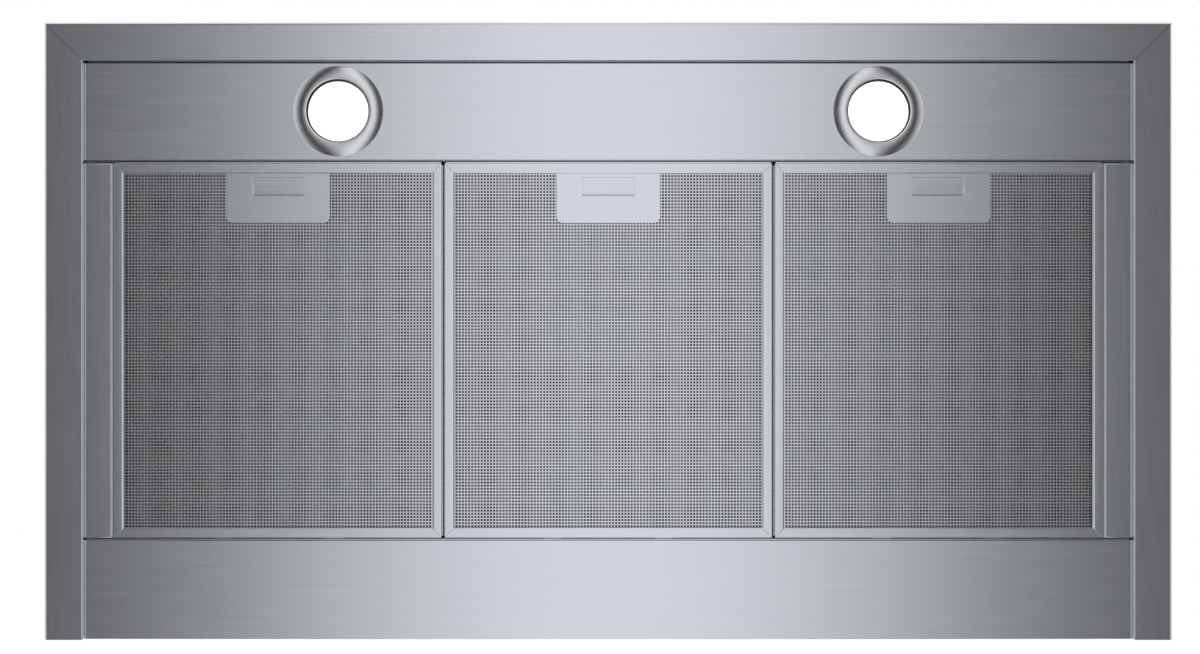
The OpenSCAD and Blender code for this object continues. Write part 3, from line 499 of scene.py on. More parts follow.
def make_front_sheet():
    """The front of the canopy: lip, rim, band, slope and seat, folded from one sheet."""
    piece = start("front_canopy_sheet", ops.mesh.primitive_plane_add, size=1,
                  location=(0, (RIM_FRONT_Y + LIP_Y) / 2, 0), scale=(2 * HALF_W, LIP_Y - RIM_FRONT_Y, 1))
    pick(piece, "edges", along(y=LIP_Y))
    stretch(x=LIP_X / HALF_W)
    draw_out(z=LIP_H)
    pick(piece, "edges", along(y=RIM_FRONT_Y))
    draw_out(z=BAND_H)
    draw_out(y=SEAT_Y - RIM_FRONT_Y, z=SEAT_Z - BAND_H)
    stretch(x=SEAT_X / HALF_W)
    draw_out(y=SEAT_FLANGE)
    stretch(x=(SEAT_X - SEAT_FLANGE) / SEAT_X)
    pick(piece, "edges", any_of(along(y=LIP_Y, z=0), along(y=SEAT_Y, z=SEAT_Z)))
    round_over(FOLD_R, 4)
    for level, radius in ((0, RIM_R), (BAND_H, KNEE_R)):
        pick(piece, "edges", along(y=RIM_FRONT_Y, z=level))
        round_over(radius, 5)
    ops.mesh.select_all(action="SELECT")
    stretch(x=1 - SEAM / HALF_W)
    face_out(piece, (0, RIM_FRONT_Y, BAND_H / 2), (0, -1, 0))
    give_wall(piece)
    cut_away(piece, stadium("bezel_opening", BEZEL_W, BEZEL_H, RIM_FRONT_Y - 0.01, RIM_FRONT_Y + 0.01))
    smooth(piece)
    return settle(piece, "hood", "brushed_sheet", along_x, "canopy_front")


def make_side_sheet():
    """The right side of the canopy, folded as the front is."""
    piece = start("right_canopy_sheet", ops.mesh.primitive_plane_add, size=1,
                  location=((LIP_X + HALF_W) / 2, 0, 0), scale=(HALF_W - LIP_X, WALL_Y - RIM_FRONT_Y, 1))
    pick(piece, "points", lambda p: near(p.x, LIP_X) and p.y < 0)
    slide(y=LIP_Y - RIM_FRONT_Y)
    pick(piece, "edges", along(x=LIP_X))
    draw_out(z=LIP_H)
    pick(piece, "edges", along(x=HALF_W))
    draw_out(z=BAND_H)
    draw_out(x=SEAT_X - HALF_W, z=SEAT_Z - BAND_H)
    pick(piece, "points", lambda p: near(p.z, SEAT_Z) and p.y < 0)
    slide(y=SEAT_Y - RIM_FRONT_Y)
    pick(piece, "edges", along(x=SEAT_X, z=SEAT_Z))
    draw_out(x=-SEAT_FLANGE)
    pick(piece, "points", lambda p: near(p.x, SEAT_X - SEAT_FLANGE) and p.y < 0)
    slide(y=SEAT_FLANGE)
    pick(piece, "edges", any_of(along(x=LIP_X, z=0), along(x=SEAT_X, z=SEAT_Z)))
    round_over(FOLD_R, 4)
    for level, radius in ((0, RIM_R), (BAND_H, KNEE_R)):
        pick(piece, "edges", along(x=HALF_W, z=level))
        round_over(radius, 5)
    pick(piece, "edges", along(y=WALL_Y, z=0))
    draw_out(z=LIP_H)
    ops.mesh.select_all(action="SELECT")
    stretch(y=1 - SEAM / WALL_Y, centre=(0, WALL_Y, 0))
    face_out(piece, (HALF_W, 0, BAND_H / 2), (1, 0, 0))
    give_wall(piece)
    smooth(piece)
    return settle(piece, "hood", "brushed_sheet", along_y, "canopy_right")


make_front_sheet()
right_sheet = make_side_sheet()
settle(mirror_to(right_sheet, "left_canopy_sheet"), "hood", "brushed_sheet", along_y, "canopy_left")


# Underside panels

PANEL_X = 0.4239
FILLER_X = 0.40275
LAMP_PANEL_Y = (-0.2173, -0.1385)
REAR_PANEL_Y = 0.1697
LATCH_LEDGE_H = 0.006
TAB_LEDGE_H = 0.0055
LAMP_HOLE_R = 0.0285


def fold_pan(name, low, high, low_side=None, ledge_h=PANEL_EDGE):
    """A pan with its edges folded up, one of them lower than the rest where low_side gives its Y."""
    middle = ((low[0] + high[0]) / 2, (low[1] + high[1]) / 2, PANEL_Z)
    piece = start(name, ops.mesh.primitive_plane_add, size=1, location=middle,
                  scale=(high[0] - low[0], high[1] - low[1], 1))
    pick(piece, "edges", lambda a, b: True)
    draw_out(z=ledge_h)
    if low_side is not None:
        on_top, on_ledge = along(z=PANEL_Z + ledge_h), along(y=low_side)
        pick(piece, "edges", lambda a, b: on_top(a, b) and not on_ledge(a, b))
        draw_out(z=PANEL_EDGE - ledge_h)
    pick(piece, "edges", along(z=PANEL_Z))
    round_over(FOLD_R, 4)
    face_out(piece, middle, (0, 0, -1))
    give_wall(piece)
    return piece


# Thin strips in the gaps between the panels: how far each reaches out, and its height
LEDGE_T = 0.0008
LEDGE_ROOT = 0.0006
LEDGE_R = 0.0002
SIDE_LEDGE = (0.0015, 0.0050)
FRONT_LEDGE = (0.0014, 0.0100)
LATCH_LEDGE = (0.0005, 0.0080)
TAB_LEDGE = (0.0009, 0.0074)
FILTER_LEDGE = (0.0011, 0.0046)


def add_strip(name, low, high, height):
    return add_block(name, (*low, height), (*high, height + LEDGE_T), LEDGE_R, 1)


def add_ledges(piece, *ledges):
    """Strips on a pan's folded edges, which close the gaps beside it, each from low to high."""
    merge_into(piece, *[add_strip("ledge", low, high, height) for low, high, height in ledges])


def side_ledges(y0, y1):
    reach, height = SIDE_LEDGE
    return [((PANEL_X - LEDGE_ROOT, y0), (PANEL_X + reach, y1), height),
            ((-PANEL_X - reach, y0), (-PANEL_X + LEDGE_ROOT, y1), height)]


lamp_panel = fold_pan("lamp_panel_sheet", (-PANEL_X, LAMP_PANEL_Y[0]), (PANEL_X, LAMP_PANEL_Y[1]),
                      LAMP_PANEL_Y[1], LATCH_LEDGE_H)
for lamp_x in LAMPS.values():
    hole = start("lamp_hole", ops.mesh.primitive_cylinder_add, vertices=96, radius=LAMP_HOLE_R, depth=0.02,
                 location=(lamp_x, LAMP_Y, PANEL_Z))
    cut_away(lamp_panel, hole)
front_y, back_y = LAMP_PANEL_Y
add_ledges(lamp_panel, *side_ledges(front_y, back_y),
           ((-PANEL_X, front_y - FRONT_LEDGE[0]), (PANEL_X, front_y + LEDGE_ROOT), FRONT_LEDGE[1]),
           ((-PANEL_X, back_y - LEDGE_ROOT), (PANEL_X, back_y + LATCH_LEDGE[0]), LATCH_LEDGE[1]))
smooth(lamp_panel)
settle(lamp_panel, "hood", "brushed_sheet", along_x, "lamp_panel")

rear_panel = fold_pan("rear_panel_sheet", (-PANEL_X, REAR_PANEL_Y), (PANEL_X, WALL_Y),
                      REAR_PANEL_Y, TAB_LEDGE_H)
add_ledges(rear_panel, *side_ledges(REAR_PANEL_Y, WALL_Y),
           ((-PANEL_X, REAR_PANEL_Y - TAB_LEDGE[0]), (PANEL_X, REAR_PANEL_Y + LEDGE_ROOT), TAB_LEDGE[1]))
smooth(rear_panel)
settle(rear_panel, "hood", "brushed_sheet", along_x, "rear_panel")

right_filler = fold_pan("right_filler_sheet", (FILLER_X, FILTER_Y), (PANEL_X, FILTER_BACK))
add_ledges(right_filler, side_ledges(FILTER_Y, FILTER_BACK)[0],
           ((FILLER_X - FILTER_LEDGE[0], FILTER_Y), (FILLER_X + LEDGE_ROOT, FILTER_BACK), FILTER_LEDGE[1]))
smooth(right_filler)
settle(right_filler, "hood", "brushed_sheet", along_y, "right_filler")
settle(mirror_to(right_filler, "left_filler_sheet"), "hood", "brushed_sheet", along_y, "left_filler")


# Filters

FRAME_BEND_R = 0.0006
ROLL = ((0.0010, 0.00012), (0.00065, 0.00033), (0.00035, 0.00065))
ROLL_TOP = 0.0038
MITRE_W = 0.0003
TAB_Z = 0.0087
TAB_W = 0.014
TAB_LEN = 0.0102
TAB_T = 0.0015
TAB_X = 0.045
TAB_CORNER_R = 0.003
BOLT_Z = 0.0092
BOLT_W = 0.028
BOLT_T = 0.002
BOLT_SLOT_W = BOLT_W + 0.0012
BOLT_SLOT_ROOM = 0.0003
HEM_OUT = 0.0006
HEM_Z = 0.0085
HEM_END = 0.001
FRONT_HEM = 0.0012
FRONT_HEM_Z = 0.0042
MID_Y = FILTER_Y + FILTER_D / 2


def make_rails():
    """The centre filter's frame: rails with rolled inner edges, mitre lines, hems and rear tabs."""
    piece = start("centre_filter_rails", ops.mesh.primitive_plane_add, size=1, location=(0, MID_Y, PANEL_Z),
                  scale=(FILTER_W, FILTER_D, 1))
    ops.mesh.inset(thickness=RAIL_FLAT, depth=0)
    for width, depth in ROLL:
        ops.mesh.inset(thickness=width, depth=depth)
    ops.mesh.delete(type="FACE")
    outer = any_of(along(x=FILTER_W / 2), along(x=-FILTER_W / 2), along(y=FILTER_Y), along(y=FILTER_BACK))
    pick(piece, "edges", outer)
    draw_out(z=FILTER_H)
    draw_out()
    stretch(1 - 2 * RAIL_W / FILTER_W, 1 - 2 * RAIL_W / FILTER_D, 1, centre=(0, MID_Y, 0))
    pick(piece, "edges", outer)
    round_over(FRAME_BEND_R, 3)
    face_out(piece, (0, FILTER_Y + RAIL_FLAT / 2, PANEL_Z), (0, 0, -1))
    give_wall(piece)
    to_object_mode()
    ops.object.mode_set(mode="EDIT")
    half_x, half_y = FILTER_W / 2 - RAIL_FLAT + 1e-4, FILTER_D / 2 - RAIL_FLAT + 1e-4
    pick(piece, "points", lambda p: ROLL_TOP - 1e-4 < p.z < PANEL_Z + FILTER_H / 2
         and abs(p.x) < half_x and abs(p.y - MID_Y) < half_y)
    stretch(z=0, centre=(0, 0, ROLL_TOP))
    reach_x, reach_y = (size / 2 - RAIL_W / 2 - MITRE_W for size in (FILTER_W, FILTER_D))
    grooves = []
    for x, y in ((-1, -1), (1, -1), (-1, 1), (1, 1)):
        grooves.append(start("mitre_groove", ops.mesh.primitive_cube_add, size=1,
                             location=(x * reach_x, MID_Y + y * reach_y, PANEL_Z),
                             rotation=(math.pi / 4, 0, x * y * math.pi / 4),
                             scale=(1.5 * RAIL_W, MITRE_W, MITRE_W)))
    cut_away(piece, merge_into(*grooves))
    cut_away(piece, add_block("bolt_slot", (-BOLT_SLOT_W / 2, FILTER_Y - SHEET, BOLT_Z - BOLT_SLOT_ROOM),
                              (BOLT_SLOT_W / 2, FILTER_Y + 2 * SHEET, BOLT_Z + BOLT_T + BOLT_SLOT_ROOM)))
    reach = FILTER_W / 2 - HEM_END
    edges = [add_strip("front_hem", (-reach, FILTER_Y - FRONT_HEM), (reach, FILTER_Y + LEDGE_ROOT),
                       FRONT_HEM_Z)]
    for side in (-1, 1):
        low, high = sorted((side * (FILTER_W / 2 - LEDGE_ROOT), side * (FILTER_W / 2 + HEM_OUT)))
        edges.append(add_strip("hem", (low, FILTER_Y + HEM_END), (high, FILTER_BACK - HEM_END), HEM_Z))
    for x in (-TAB_X, TAB_X):
        tab = add_block("rear_tab", (x - TAB_W / 2, FILTER_BACK - SHEET, TAB_Z),
                        (x + TAB_W / 2, FILTER_BACK + TAB_LEN, TAB_Z + TAB_T))
        pick(tab, "edges", lambda a, b: near(a.x, b.x) and near(a.y, b.y) and a.y > FILTER_BACK)
        round_over(TAB_CORNER_R, 4)
        edges.append(tab)
    merge_into(piece, *edges)
    smooth(piece)
    return piece


NET_PITCH = 0.00254
NET_Z = 0.0063
NET_WAVE = 0.00035
WIRE_W = 0.00078
WIRE_H = 0.0006
NET_COLS = 102
NET_ROWS = 116
# Pitch, and the heights of the wires that run front to back and of those that cross them
BACK_LAYERS = ((0.00233, 0.0076, 0.0083), (0.002446, 0.0094, 0.0101), (0.00252, 0.0108, 0.0115),
               (0.00228, 0.0122, 0.0129))
BACK_LAYER_W = 0.2610
BACK_LAYER_D = 0.2990
SECOND_NET_Z = 0.0089
LAST_NET_Z = 0.0117
GUIDE_HALF = 0.0275
GUIDE_BACK = FILTER_Y + 0.0418


def free_from_guide(piece, room=0.0):
    """Cuts the open net out round the latch guide and closes the wires' ends."""
    pick(piece, "faces", lambda c, n: abs(c.x) < GUIDE_HALF + room and c.y < GUIDE_BACK + room)
    ops.mesh.delete(type="FACE")
    ops.mesh.select_mode(type="VERT")
    ops.mesh.select_all(action="SELECT")
    ops.mesh.fill_holes(sides=4)
    to_object_mode()


def repeat(piece, count, x=0.0, y=0.0, **options):
    """Repeats a piece along a fixed step."""
    finish_off(piece, "ARRAY", use_relative_offset=False, use_constant_offset=True,
               constant_offset_displace=(x, y, 0), count=count, **options)


def weave_wires(name, turned, count, length):
    """Wires that pass over and under those that cross them, with every other one a step behind."""
    piece = start(name, ops.mesh.primitive_cube_add, size=1, scale=(WIRE_W, 2 * NET_PITCH, WIRE_H))
    pick(piece, "faces", lambda c, n: abs(n.y) > 0.5)
    ops.mesh.delete(type="FACE")
    pick(piece, "edges", lambda a, b: not near(a.y, b.y))
    ops.mesh.subdivide(number_cuts=1)
    for over, lift in ((True, NET_WAVE), (False, -NET_WAVE)):
        pick(piece, "points", lambda p: near(p.y, 0) == over)
        slide(z=lift)
    repeat(piece, length // 2, y=2 * NET_PITCH, use_merge_vertices=True, merge_threshold=1e-5)
    ops.object.mode_set(mode="EDIT")
    ops.mesh.select_all(action="SELECT")
    ops.mesh.fill_holes(sides=4)
    ops.mesh.select_all(action="SELECT")
    ops.mesh.duplicate()
    slide(x=NET_PITCH, y=NET_PITCH)
    repeat(piece, count // 2, x=2 * NET_PITCH)
    ops.object.mode_set(mode="EDIT")
    ops.mesh.select_all(action="SELECT")
    if turned:
        slide(y=NET_PITCH)
        ops.transform.rotate(value=math.pi / 2, orient_axis="Z", center_override=(0, 0, 0))
    shape = bmesh.from_edit_mesh(piece.data)
    middle = sum((p.co for p in shape.verts), Vector()) / len(shape.verts)
    steps = [round(-value / NET_PITCH) for value in (middle.x, middle.y - MID_Y)]
    if (steps[0] + steps[1]) % 2:
        steps[1] += 1
    slide(steps[0] * NET_PITCH, steps[1] * NET_PITCH, NET_Z)
    return piece


def straight_wires(name, pitch, z, turned):
    """A layer of straight wires, each closed at its ends."""
    count = int((BACK_LAYER_D if turned else BACK_LAYER_W) / pitch)
    first = -(count - 1) * pitch / 2
    if turned:
        place, size, step = (0, MID_Y + first, z), (BACK_LAYER_W, WIRE_W, WIRE_H), {"y": pitch}
    else:
        place, size, step = (first, MID_Y, z), (WIRE_W, BACK_LAYER_D, WIRE_H), {"x": pitch}
    piece = start(name, ops.mesh.primitive_cube_add, size=1, location=place, scale=size)
    repeat(piece, count, **step)
    return piece


def make_face_net():
    """The woven net at the underside of the centre filter."""
    piece = weave_wires("centre_face_net", False, NET_COLS, NET_ROWS)
    merge_into(piece, weave_wires("cross_wires", True, NET_ROWS, NET_COLS))
    ops.object.mode_set(mode="EDIT")
    free_from_guide(piece, NET_PITCH)
    ops.object.shade_smooth_by_angle(angle=math.radians(40))
    return piece


def make_back_layers():
    """The grids of straight wire that fill the filter behind the woven net."""
    layers = []
    for number, (pitch, low, high) in enumerate(BACK_LAYERS):
        for turned, z in ((False, low), (True, high)):
            layers.append(straight_wires("layer_%d" % number, pitch, z, turned))
    piece = merge_into(*layers)
    piece.name = piece.data.name = "centre_back_layers"
    ops.object.mode_set(mode="EDIT")
    for plane, way in ((GUIDE_HALF, (1, 0, 0)), (-GUIDE_HALF, (1, 0, 0)), (GUIDE_BACK, (0, 1, 0))):
        ops.mesh.select_all(action="SELECT")
        ops.mesh.bisect(plane_co=(plane, plane, 0), plane_no=way)
    free_from_guide(piece)
    return piece


# Latches

PLATE_HALF = 0.042
PLATE_FRONT = FILTER_Y + 0.006
PLATE_BACK = FILTER_Y + 0.0483
PLATE_R = 0.005
SCOOP_HALF = 0.02125
SCOOP_Y = (FILTER_Y + 0.0112, FILTER_Y + 0.0266)
SCOOP_H = 0.0045
SCOOP_R = 0.0024
SCOOP_RAMP = 0.0002
SCOOP_DIP = 0.0010
SCOOP_EDGE_R = 0.0002
BOLT_Y = FILTER_Y + 0.0003
SPRING_TAB = ((-0.0025, FILTER_Y + 0.0286, PLATE_Z + 0.0005), (0.0025, FILTER_Y + 0.0296, 0.0106))
EAR_X = (SCOOP_HALF + 0.0004, SCOOP_HALF + 0.0033)
EAR_Z = 0.0072


def make_latch():
    """Handle plate with its pressed finger scoop, and the bolt, ears and spring tab behind it."""
    piece = start("centre_handle_plate", ops.mesh.primitive_plane_add, size=1,
                  location=(0, (PLATE_FRONT + PLATE_BACK) / 2, PLATE_Z),
                  scale=(2 * PLATE_HALF, PLATE_BACK - PLATE_FRONT, 1))
    pick(piece, "points", lambda p: near(p.y, PLATE_BACK))
    round_over(PLATE_R, 8, "VERTICES")
    for place, way in (((SCOOP_HALF, 0, 0), (1, 0, 0)), ((-SCOOP_HALF, 0, 0), (1, 0, 0)),
                       ((0, SCOOP_Y[0], 0), (0, 1, 0)), ((0, SCOOP_Y[1], 0), (0, 1, 0))):
        ops.mesh.select_all(action="SELECT")
        ops.mesh.bisect(plane_co=place, plane_no=way)
    pick(piece, "faces", lambda c, n: abs(c.x) < SCOOP_HALF and SCOOP_Y[0] < c.y < SCOOP_Y[1])
    ops.mesh.extrude_region_move(TRANSFORM_OT_translate={"value": (0, 0, SCOOP_H)})
    pick(piece, "edges", lambda a, b: near(a.x, b.x) and near(a.y, SCOOP_Y[0]) and near(b.y, SCOOP_Y[0])
         and near(abs(a.x), SCOOP_HALF))
    round_over(SCOOP_R, 4)
    pick(piece, "points", lambda p: near(p.z, PLATE_Z + SCOOP_H) and p.y < SCOOP_Y[0] + SCOOP_R + 1e-4)
    slide(y=SCOOP_RAMP, z=SCOOP_DIP - SCOOP_H)
    ops.mesh.select_all(action="SELECT")
    ops.mesh.bisect(plane_co=(0, SCOOP_Y[0] + SCOOP_R + SCOOP_RAMP, 0), plane_no=(0, 1, 0))
    pick(piece, "edges", lambda a, b: all(near(p.z, PLATE_Z) and abs(p.x) < SCOOP_HALF + 1e-4
                                          and SCOOP_Y[0] - 1e-4 < p.y < SCOOP_Y[1] - 1e-4 for p in (a, b)))
    round_over(SCOOP_EDGE_R, 2)
    face_out(piece, (PLATE_HALF - 0.01, PLATE_BACK - 0.01, PLATE_Z), (0, 0, -1))
    give_wall(piece, even=False)
    parts = [
        add_block("bolt", (-BOLT_W / 2, BOLT_Y, BOLT_Z),
                  (BOLT_W / 2, SCOOP_Y[1] - SHEET, BOLT_Z + BOLT_T), 0.0006),
        add_block("spring_tab", *SPRING_TAB, 0.0003),
    ]
    for side in (-1, 1):
        low, high = sorted(side * x for x in EAR_X)
        parts.append(add_block("ear", (low, SCOOP_Y[0] + SCOOP_R, EAR_Z),
                               (high, SCOOP_Y[1] - SCOOP_R, EAR_Z + SHEET), 0.0002))
    merge_into(piece, *parts)
    smooth(piece)
    return piece


rails = make_rails()
face_net = make_face_net()
back_layers = make_back_layers()
handle_plate = make_latch()
for side, shift in FILTERS.items():
    body = side + "_filter"
    fitted = [rails, face_net, back_layers, handle_plate]
    if shift:
        fitted = [copy_to(piece, piece.name.replace("centre", side), x=shift) for piece in fitted]
    settle(fitted[0], body, "filter_frame", along_x, side + "_filter_frame", also=(along_y,))
    for face in fitted[0].data.polygons:
        from_side = FILTER_W / 2 - abs(face.center.x - shift)
        from_end = FILTER_D / 2 - abs(face.center.y - MID_Y)
        face.material_index = 1 if from_side < from_end else 0
    settle(fitted[1], body, "wire_mesh", wire, side + "_filter_mesh")
    # Painted shade by depth: each back-layer wire takes a darkened copy of the wire steel by its height,
    # near black for the middle layers and less dark for the first and last layers
    settle(fitted[2], body, "wire_mesh", inner_wire_painted_shade, side + "_filter_mesh", also=(second_wire_painted_shade, back_wire_painted_shade))
    for face in fitted[2].data.polygons:
        face.material_index = (face.center.z < SECOND_NET_Z) + 2 * (face.center.z > LAST_NET_Z)
    settle(fitted[3], side + "_latch_slide", "handle_plate", along_x, side + "_latch")


# Lamps

RING_FOOT = 0.0100
# Radius and height of each turn: the sleeve, the dished face down to the inner lip, and the sleeve's inside
RING_PROFILE = (
    (0.0282, RING_FOOT), (0.0282, 0.0030), (0.03665, 0.0030), (0.0365, 0.00286), (0.0358, 0.00250),
    (0.0349, 0.00204), (0.0341, 0.00168), (0.0333, 0.00134), (0.0325, 0.00105), (0.0317, 0.00079),
    (0.0309, 0.00057), (0.0301, 0.00038), (0.0292, 0.00023), (0.0282, 0.00012), (0.0272, 0.00006),
    (0.0262, 0.00006), (0.0258, 0.00018), (0.0256, 0.0005), (0.0256, 0.0011), (0.0259, 0.0016),
    (0.0269, 0.0016), (0.0269, RING_FOOT), (0.0282, RING_FOOT),
)
LENS_PROFILE = ((0.0245, 0.0032), (0.0245, 0.0024), (0.0242, 0.0019), (0.0237, 0.0015), (0.0229, 0.0012))
for side, lamp_x in LAMPS.items():
    ring = lathe(side + "_lamp_bezel", (lamp_x, LAMP_Y, 0), RING_PROFILE)
    smooth(ring)
    settle(ring, "hood", "lamp_ring", ring_steel, side + "_lamp_ring")
    lens = lathe(side + "_opal_lens", (lamp_x, LAMP_Y, 0), LENS_PROFILE)
    smooth(lens)
    settle(lens, "hood", "lens", lit_lens, side + "_lamp_lens")


# Chimney

COVER_BEND_R = 0.002
COVER_FOLD = 0.013
# Width, front, back, bottom and top
LOWER_COVER = (0.320, -0.025, 0.250, 0.250, 0.630)
UPPER_COVER = (0.317, -0.0235, 0.2485, 0.470, 0.850)


def make_cover(name, width, front, back, bottom, top, foot):
    """A three-sided cover with its rear edges folded in and, where foot is set, a flange to stand on."""
    half = width / 2
    piece = start(name, ops.mesh.primitive_plane_add, size=1, location=(0, front, (bottom + top) / 2),
                  rotation=(math.pi / 2, 0, 0), scale=(width, top - bottom, 1))
    pick(piece, "edges", any_of(along(x=half), along(x=-half)))
    draw_out(y=back - front)
    for side in (-1, 1):
        pick(piece, "edges", along(x=side * half, y=back))
        draw_out(x=-side * COVER_FOLD)
    bends = any_of(*[along(x=x, y=y) for x in (half, -half) for y in (front, back)])
    if foot:
        sole = any_of(along(z=bottom, y=front), along(z=bottom, x=half), along(z=bottom, x=-half))
        pick(piece, "edges", sole)
        draw_out()
        stretch(x=1 - COVER_FOLD / half, y=1 - COVER_FOLD / (back - front), centre=(0, back, bottom))
        bends = any_of(bends, sole)
    pick(piece, "edges", bends)
    round_over(COVER_BEND_R, 5)
    face_out(piece, (0, front, (bottom + top) / 2), (0, -1, 0))
    give_wall(piece)
    smooth(piece)
    return piece


settle(make_cover("lower_chimney_sheet", *LOWER_COVER, True), "hood",
       "brushed_sheet", along_z, "lower_cover")
settle(make_cover("upper_chimney_sheet", *UPPER_COVER, False), "upper_chimney",
       "brushed_sheet", along_z, "upper_cover")


# Screws

SCREW_D = 0.004
HEAD_D = 0.007
HEAD_H = 0.002
RECESS_W = 0.0009
RECESS_LEN = 0.0036
RECESS_DEPTH = 0.0011


def make_screw(name, place, axis, way, length):
    """A pan-head screw with a cross recess, its head on the given place and its shank behind it."""
    shank, head = SCREW_D / 2, HEAD_D / 2
    profile = ((shank - 0.0005, -length), (shank, -length + 0.0005), (shank, 0.0), (head, 0.0),
               (head, 0.0008), (head - 0.0003, 0.0014), (head - 0.0009, 0.0018), (head - 0.0017, HEAD_H))
    piece = lathe(name, place, [(radius, way * height) for radius, height in profile], axis, 32)
    for slot_axis in [a for a in "xyz" if a != axis]:
        size = {a: RECESS_W for a in "xyz"}
        size[slot_axis] = RECESS_LEN
        size[axis] = 2 * RECESS_DEPTH
        tip = Vector(place)
        setattr(tip, axis, getattr(tip, axis) + way * HEAD_H)
        cut_away(piece, start("recess", ops.mesh.primitive_cube_add, size=1, location=tip,
                              scale=(size["x"], size["y"], size["z"])))
    smooth(piece)
    return piece


# Body, shank length, axis, and the place of each head with the way that it faces
SCREW_SETS = {
    "bracket_screws": ("upper_chimney", 0.005, "x",
                       [((side * 0.1585, 0.220, 0.838), side) for side in (-1, 1)]),
    "cover_screws": ("hood", 0.006, "z",
                     [((side * 0.090, -0.018, 0.251), 1) for side in (-1, 1)]
                     + [((side * 0.153, 0.1525, 0.251), 1) for side in (-1, 1)]),
    "blower_screws": ("hood", 0.009, "z",
                      [((x * 0.087, 0.1125 + y * 0.071, 0.2515), 1) for x in (-1, 1) for y in (-1, 1)]),
}
for node_name, (body, length, axis, places) in SCREW_SETS.items():
    screws = [make_screw("%s_%d" % (node_name, number + 1), place, axis, way, length)
              for number, (place, way) in enumerate(places)]
    settle(merge_into(*screws), body, "bright_steel", bright_steel, node_name)


# Push buttons

BUTTON_R = BUTTON_D / 2
BUTTON_PROFILE = (
    (0.0010, 0.00080), (0.0026, 0.00066), (0.0042, 0.00036), (0.0054, 0.00012), (0.0061, 0.0),
    (0.0065, 0.00008), (BUTTON_R, 0.0004), (BUTTON_R, 0.0028), (BUTTON_R + 0.0014, 0.0028),
    (BUTTON_R + 0.0014, 0.0043), (BUTTON_R, 0.0043), (BUTTON_R, 0.0090), (0.0030, 0.0090), (0.0030, 0.0140),
)
BUTTONS = {job: ((number - 2) * BUTTON_PITCH, RIM_FRONT_Y, BUTTON_Z)
           for number, job in enumerate(("light", "off", "low", "medium", "high"))}
for job, place in BUTTONS.items():
    button = lathe(job + "_push_button", place, BUTTON_PROFILE, "y", 64)
    smooth(button)
    settle(button, job + "_button", "button_metal", turned_steel, job + "_button")


def make_bezel():
    """The black strip round the buttons, with its flange behind the band."""
    layers = []
    for name, grow, front, back, radius in (("button_strip", -2 * BEZEL_GAP, 0.0, 0.0016, 0.0004),
                                            ("strip_flange", 0.008, 0.001, 0.0025, 0.0)):
        layer = stadium(name, BEZEL_W + grow, BEZEL_H + grow, RIM_FRONT_Y + front, RIM_FRONT_Y + back,
                        radius)
        for place in BUTTONS.values():
            cut_away(layer, start("button_hole", ops.mesh.primitive_cylinder_add, vertices=64,
                                  radius=BUTTON_R + BEZEL_GAP, depth=0.02, location=place,
                                  rotation=(math.pi / 2, 0, 0)))
        layers.append(layer)
    piece = merge_into(*layers)
    smooth(piece)
    return piece


settle(make_bezel(), "hood", "black_plastic", black_plastic, "button_bezel")


# Camera, light and floor

CAMERA_Z = -1.3485
CAMERA_SHIFT = (-0.0069, 0.0033)
WORLD_FILL = 0.72
CARD_Z = -1.5
CARD_SPREAD = 0.45
CARD_EDGE = 1.15
CARD_LIGHT = 1.105
CARD_FAR = 2.2
FLOOR_Z = -1.75
STAGE_W = 40.0
LIGHT_SIZE = 4.0
# Place and power of each soft light
SOFT_LIGHTS = {"key_light": ((-2.2, -2.6, 2.4), 14), "fill_light": ((2.6, -1.8, 1.6), 8)}
LIGHT_AIM = (0, 0, 0.3)


def set_camera():
    data = bpy.data.cameras.new("camera")
    camera = bpy.data.objects.new("camera", data)
    bpy.context.scene.collection.objects.link(camera)
    camera.location = (0, 0, CAMERA_Z)
    camera.rotation_euler = (math.pi, 0, 0)
    data.lens = 50
    data.sensor_width = 36
    data.shift_x, data.shift_y = CAMERA_SHIFT
    bpy.context.scene.camera = camera


def set_world():
    """White for the camera and in reflections, a soft pale grey for the rest."""
    world = bpy.data.worlds.new("studio")
    bpy.context.scene.world = world
    world.use_nodes = True
    nodes, links = world.node_tree.nodes, world.node_tree.links
    background = nodes["Background"]
    path = nodes.new("ShaderNodeLightPath")
    seen = work_out(nodes, links, "MAXIMUM", path.outputs["Is Camera Ray"], path.outputs["Is Glossy Ray"])
    bright = work_out(nodes, links, "MAXIMUM", seen, path.outputs["Is Transmission Ray"])
    links.new(spread(nodes, links, bright, WORLD_FILL, 1.0, 0.0, 1.0), background.inputs["Strength"])
    background.inputs["Color"].default_value = (1, 1, 1, 1)


def only_from_above(nodes, links, shown):
    """Lets rays from below pass through a stage piece, and shows the given shader to the rest."""
    facing = nodes.new("ShaderNodeNewGeometry")
    clear = nodes.new("ShaderNodeBsdfTransparent")
    side = nodes.new("ShaderNodeMixShader")
    links.new(facing.outputs["Backfacing"], side.inputs["Fac"])
    links.new(shown, side.inputs[1])
    links.new(clear.outputs[0], side.inputs[2])
    return side.outputs[0]


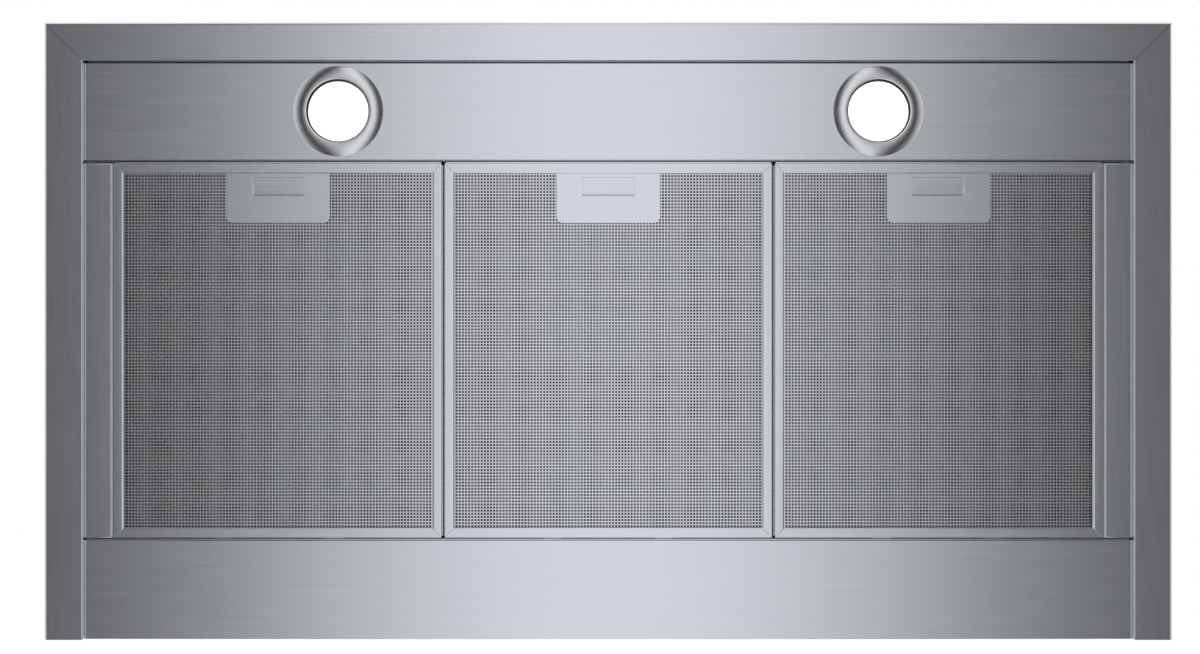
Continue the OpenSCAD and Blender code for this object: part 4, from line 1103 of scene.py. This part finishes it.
def set_card():
    """A wide soft light under the hood, brightest along its middle, dark beside it and pale far out."""
    card = start("soft_light_card", ops.mesh.primitive_plane_add, size=1, location=(0, 0, CARD_Z),
                 scale=(STAGE_W, STAGE_W, 1))
    to_object_mode()
    material = bpy.data.materials.new("fading_light")
    material.use_nodes = True
    nodes, links = material.node_tree.nodes, material.node_tree.links
    nodes.clear()
    place = nodes.new("ShaderNodeTexCoord")
    axes = nodes.new("ShaderNodeSeparateXYZ")
    links.new(place.outputs["Object"], axes.inputs[0])
    square = work_out(nodes, links, "MULTIPLY", axes.outputs["X"], axes.outputs["X"])
    share = work_out(nodes, links, "MULTIPLY", square, 0.5 / CARD_SPREAD ** 2)
    steep = work_out(nodes, links, "POWER", share, CARD_EDGE)
    fall = work_out(nodes, links, "EXPONENT", work_out(nodes, links, "MULTIPLY", steep, -1.0))
    middle = work_out(nodes, links, "MULTIPLY", fall, CARD_LIGHT)
    fourth = work_out(nodes, links, "MULTIPLY", square, square)
    far = work_out(nodes, links, "DIVIDE", fourth, work_out(nodes, links, "ADD", fourth, CARD_FAR ** 4))
    level = work_out(nodes, links, "ADD", middle, far)
    glow = nodes.new("ShaderNodeEmission")
    links.new(level, glow.inputs["Strength"])
    output = nodes.new("ShaderNodeOutputMaterial")
    links.new(only_from_above(nodes, links, glow.outputs[0]), output.inputs["Surface"])
    card.data.materials.append(material)
    card.visible_camera = False
    card.visible_shadow = False
    card.visible_diffuse = False


def set_floor():
    """A pale floor that takes the hood's shadow and is clear from below."""
    floor = start("pale_floor", ops.mesh.primitive_plane_add, size=1, location=(0, 0, FLOOR_Z),
                  scale=(STAGE_W, STAGE_W, 1))
    to_object_mode()
    material, nodes, links, shader = new_finish("pale_floor")
    shader.inputs["Base Color"].default_value = (0.9, 0.9, 0.9, 1)
    shader.inputs["Roughness"].default_value = 0.8
    links.new(only_from_above(nodes, links, shader.outputs[0]), nodes["Material Output"].inputs["Surface"])
    floor.data.materials.append(material)


def add_soft_light(name, place, power):
    data = bpy.data.lights.new(name, "AREA")
    data.shape = "SQUARE"
    data.size = LIGHT_SIZE
    data.energy = power
    light = bpy.data.objects.new(name, data)
    bpy.context.scene.collection.objects.link(light)
    light.location = place
    light.rotation_euler = (Vector(LIGHT_AIM) - Vector(place)).to_track_quat("-Z", "Y").to_euler()


set_camera()
set_world()
set_card()
set_floor()
for light_name, (place, power) in SOFT_LIGHTS.items():
    add_soft_light(light_name, place, power)
bpy.context.scene.view_settings.view_transform = "Standard"
